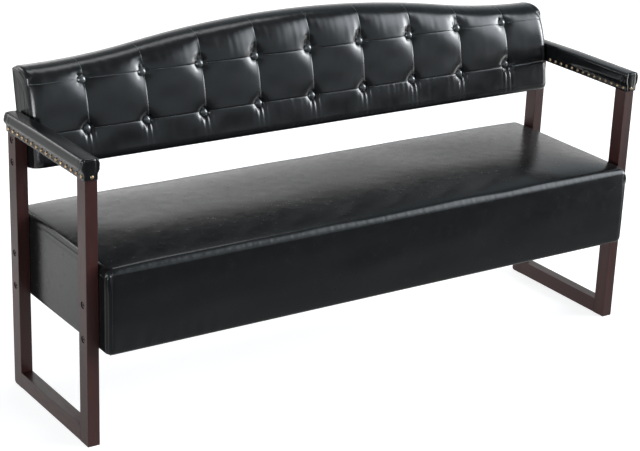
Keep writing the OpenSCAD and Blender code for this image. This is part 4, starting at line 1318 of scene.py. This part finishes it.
SENSOR_WIDTH = 36.0
FARTHEST = 100.0
FLOOR_LEVEL = -0.0004
FLOOR_WHITE = 0.80
WALL_BOX = ((-4, 0.5), (5, 1.32))
WALL_PLACE = 1.6
GLOWING = {"Roughness": 0.9, "Specular IOR Level": 0.0, "Emission Color": (1, 1, 1, 1)}
BEHIND_DIRECTION = (-0.6, 1.0, 0.0)
WINDOW_DIRECTION = (0.85, -0.35, 0.40)
RIGHT_DIRECTION = (0.962, -0.272, 0.01)
LEFT_DIRECTION = (-0.95, -0.31, -0.03)
IN_FRONT = (0.66, 0.73, 0.78)
BEHIND = (0.31, 0.325, 0.34)
CEILING = (0.21, 0.235, 0.25)
WINDOW = (5.8, 6.2, 6.6)
RIGHT_WINDOW = (18.5, 19.0, 19.5)
LEFT_WINDOW = (19.0, 19.3, 19.6)
WHITE = (1.0, 1.0, 1.0)


def camera_matrix():
    """Camera's place and turn: yaw from +Y to the right, pitch down, then roll about the line of sight."""
    stage = settings().stage
    yaw, pitch, roll = stage.yaw, stage.pitch, stage.roll
    forward = Vector((math.sin(yaw) * math.cos(pitch), math.cos(yaw) * math.cos(pitch), -math.sin(pitch)))
    right = Vector((math.cos(yaw), -math.sin(yaw), 0.0))
    up = right.cross(forward)
    rolled_right = math.cos(roll) * right + math.sin(roll) * up
    rolled_up = -math.sin(roll) * right + math.cos(roll) * up
    matrix = Matrix((rolled_right, rolled_up, -forward)).transposed().to_4x4()
    matrix.translation = Vector(stage.camera_place)
    return matrix


def make_camera():
    """Camera with the photograph's view. The lens is shifted, as the picture is a crop."""
    stage = settings().stage
    data = bpy.data.cameras.new("camera")
    data.sensor_fit = "HORIZONTAL"
    data.sensor_width = SENSOR_WIDTH
    data.lens = data.sensor_width * stage.focal_share
    data.shift_x, data.shift_y = stage.shift
    data.clip_end = FARTHEST
    camera = bpy.data.objects.new("camera", data)
    bpy.context.scene.collection.objects.link(camera)
    camera.matrix_world = camera_matrix()
    bpy.context.scene.camera = camera


def floor_material():
    """White floor for the camera, which keeps the shadow. In what the bench reflects it is dark in front of
    the bench, bright just behind it and grey far behind it, and bright under the window on the right."""
    material, tree, shader = new_material("pale_floor")
    rays = tree.nodes.new("ShaderNodeLightPath").outputs
    place = axes(tree, add_node(tree, "TexCoord", "Object", {}))
    near = spread(tree, place["Y"], -1.3, 0.9)
    far = spread(tree, place["Y"], 1.1, 1.7, 0.98, 0.52)
    rightwards = spread(tree, place["X"], 1.75, 3.1, 0.0, 8.0)
    ahead = product(tree, spread(tree, place["Y"], -2.2, -0.9),
                    spread(tree, place["Y"], -0.75, -0.40, 1.0, 0.0))
    window = product(tree, rightwards, ahead)
    bright = add_node(tree, "Math", "Value", {0: product(tree, near, far), 1: window})
    mirrored = product(tree, bright, rays["Is Glossy Ray"])
    glow = add_node(tree, "Math", "Value", {0: rays["Is Camera Ray"], 1: FLOOR_WHITE, 2: mirrored},
                    operation="MULTIPLY_ADD")
    colour = blend_colours(tree, rays["Is Glossy Ray"], (0.55, 0.55, 0.55), (0.12, 0.12, 0.12))
    set_inputs(tree, shader, {**GLOWING, "Base Color": colour, "Emission Strength": glow})
    return material


def stage_panel(name, corners, material):
    """Flat panel of the stage with the given four corners."""
    panel = make_piece(name, np.array(corners, float), np.array([[0, 1, 2, 3]]))
    panel.data.materials.append(material)
    return panel


def make_floor():
    """Square floor round the bench, just under its feet."""
    half = settings().stage.floor_size / 2
    corners = [(x * half, y * half, FLOOR_LEVEL) for x, y in ((-1, -1), (1, -1), (1, 1), (-1, 1))]
    stage_panel("floor", corners, floor_material())


def make_low_wall():
    """Bright low wall behind the bench, which only the gloss of the bench shows: even from 0.5 m up to 1.05
    m, then fading, and less bright towards the right."""
    material, tree, shader = new_material("bright_wall")
    place = axes(tree, add_node(tree, "TexCoord", "Object", {}))
    along = spread(tree, place["X"], 0.2, 1.0, 1.55, 1.10)
    upward = spread(tree, place["Z"], 1.05, 1.32, 1.0, 0.28)
    set_inputs(tree, shader, {
        **GLOWING, "Base Color": (0, 0, 0, 1), "Emission Strength": product(tree, along, upward)})
    (left, foot), (right, top) = WALL_BOX
    corners = [(x, WALL_PLACE, z) for x, z in ((left, foot), (right, foot), (right, top), (left, top))]
    wall = stage_panel("low_wall", corners, material)
    wall.visible_camera = wall.visible_diffuse = wall.visible_shadow = False


def facing(tree, look, direction):
    """Dot product of the looked-at direction with a given one."""
    return add_node(tree, "VectorMath", "Value", {0: look, 1: direction}, operation="DOT_PRODUCT")


def lobe(tree, look, direction, edge, core):
    """Round window about a direction: a smooth step of the dot product from its edge to its core."""
    return spread(tree, facing(tree, look, direction), edge, core, kind="SMOOTHSTEP")


def make_world():
    """Studio surroundings, white for the camera. In reflections they are pale in front and darker behind,
    with a dark ceiling, a soft window high up in front on the right, and a smaller, brighter one on each
    side, the right one drawn out upwards."""
    world = bpy.data.worlds.new("studio")
    bpy.context.scene.world = world
    world.use_nodes = True
    tree = world.node_tree
    tree.nodes.clear()
    output = tree.nodes.new("ShaderNodeOutputWorld")
    look = add_node(tree, "TexCoord", "Generated", {})
    parts = axes(tree, look)
    height = spread(tree, parts["Z"], 0.36, 0.62)
    behind = spread(tree, facing(tree, look, BEHIND_DIRECTION), 0.2, 0.65)
    surround = blend_colours(tree, height, blend_colours(tree, behind, IN_FRONT, BEHIND), CEILING)
    ahead = spread(tree, parts["Y"], -0.24, -0.04, 1.0, 0.0)
    window = product(tree, ahead, lobe(tree, look, WINDOW_DIRECTION, 0.85, 0.965))
    squashed = add_node(tree, "VectorMath", "Vector", {0: look, 1: (1.0, 1.0, 0.4)}, operation="MULTIPLY")
    level = add_node(tree, "VectorMath", "Vector", {0: squashed}, operation="NORMALIZE")
    right = lobe(tree, level, RIGHT_DIRECTION, 0.963, 0.993)
    left = lobe(tree, look, LEFT_DIRECTION, 0.96, 0.99)
    for share, colour in ((window, WINDOW), (right, RIGHT_WINDOW), (left, LEFT_WINDOW)):
        surround = blend_colours(tree, share, surround, colour)
    rays = tree.nodes.new("ShaderNodeLightPath").outputs
    colour = blend_colours(tree, rays["Is Camera Ray"], surround, WHITE)
    background = add_node(tree, "Background", "Background", {"Color": colour})
    tree.links.new(background, output.inputs["Surface"])


def soft_box(name, place, target, width, height, power, colour=(1, 1, 1)):
    """Rectangular lamp at a place, turned towards its target."""
    data = bpy.data.lights.new(name, "AREA")
    data.shape = "RECTANGLE"
    data.size = width
    data.size_y = height
    data.energy = power
    data.color = colour
    lamp = bpy.data.objects.new(name, data)
    bpy.context.scene.collection.objects.link(lamp)
    lamp.location = place
    lamp.rotation_euler = (Vector(target) - Vector(place)).to_track_quat("-Z", "Y").to_euler()


def make_lamps():
    """A narrow lamp behind the left end, for the rims, and a soft one overhead."""
    soft_box("rim_box", (-1.75, 2.6, 1.95), (-0.8, 0, 0.7), 1.6, 0.5, 13)
    soft_box("top_box", (0.6, 1.2, 3.4), (0, 0, 0.5), 1.6, 0.8, 12, (0.95, 0.98, 1.0))


# Operators

class BENCH_OT_wood(bpy.types.Operator):
    """Dress the wooden frames in stained and plain wood"""

    bl_idname = "bench.wood"
    bl_label = "Wood"

    def execute(self, context):
        dress_wood()
        return {"FINISHED"}


class BENCH_OT_metal(bpy.types.Operator):
    """Dress the nails, bolts and inserts in their metals, and put dark rings of painted shade round the bolt
    holes
    """

    bl_idname = "bench.metal"
    bl_label = "Nails and bolts"

    def execute(self, context):
        dress_metal()
        make_painted_shade_rings()
        return {"FINISHED"}


class BENCH_OT_filling(bpy.types.Operator):
    """Dress the foam, twine and the outside of the back"""

    bl_idname = "bench.filling"
    bl_label = "Filling and outside back"

    def execute(self, context):
        dress_filling()
        return {"FINISHED"}


class BENCH_OT_backrest(bpy.types.Operator):
    """Make the tufted backrest cover, its buttons and its stitches"""

    bl_idname = "bench.backrest"
    bl_label = "Backrest"

    def execute(self, context):
        make_back_cover()
        make_buttons()
        make_back_stitches()
        return {"FINISHED"}


class BENCH_OT_seat(bpy.types.Operator):
    """Make the seat cover, its stitches and the dust cover under it"""

    bl_idname = "bench.seat"
    bl_label = "Seat"

    def execute(self, context):
        make_seat_cover()
        make_seat_stitches()
        make_dust_cover()
        return {"FINISHED"}


class BENCH_OT_arms(bpy.types.Operator):
    """Make the two padded arm covers"""

    bl_idname = "bench.arms"
    bl_label = "Arms"

    def execute(self, context):
        for side in SIDES:
            make_arm_cover(side)
        return {"FINISHED"}


class BENCH_OT_stage(bpy.types.Operator):
    """Make the camera, the floor, the surroundings and the lamps"""

    bl_idname = "bench.stage"
    bl_label = "Stage"

    def execute(self, context):
        make_camera()
        make_floor()
        make_low_wall()
        make_world()
        make_lamps()
        context.scene.view_settings.view_transform = "Standard"
        return {"FINISHED"}


OPERATORS = (
    BENCH_OT_wood, BENCH_OT_metal, BENCH_OT_filling, BENCH_OT_backrest, BENCH_OT_seat, BENCH_OT_arms,
    BENCH_OT_stage)


class BENCH_PT_panel(bpy.types.Panel):
    """Lists the bench's operators and settings"""

    bl_idname = "BENCH_PT_panel"
    bl_label = "Tufted Waiting Bench"
    bl_space_type = "VIEW_3D"
    bl_region_type = "UI"
    bl_category = "Bench"

    def draw(self, context):
        for operator in OPERATORS:
            self.layout.operator(operator.bl_idname)
        for name in ("back", "seat", "arm", "finish", "stage"):
            group = getattr(context.scene.bench, name)
            box = self.layout.box()
            box.label(text=name.capitalize())
            for key in group.__annotations__:
                box.prop(group, key)


GROUPS = (BackSettings, SeatSettings, ArmSettings, FinishSettings, StageSettings, BenchSettings)
CLASSES = (*GROUPS, *OPERATORS, BENCH_PT_panel)


def register():
    """Registers the classes and gives each scene its settings."""
    for cls in CLASSES:
        bpy.utils.register_class(cls)
    bpy.types.Scene.bench = PointerProperty(type=BenchSettings)


def unregister():
    """Takes back what register adds."""
    del bpy.types.Scene.bench
    for cls in reversed(CLASSES):
        bpy.utils.unregister_class(cls)


def main():
    """Makes the whole bench and its stage."""
    register()
    bpy.ops.bench.wood()
    bpy.ops.bench.metal()
    bpy.ops.bench.filling()
    bpy.ops.bench.backrest()
    bpy.ops.bench.seat()
    bpy.ops.bench.arms()
    bpy.ops.bench.stage()


if __name__ == "__main__":
    main()
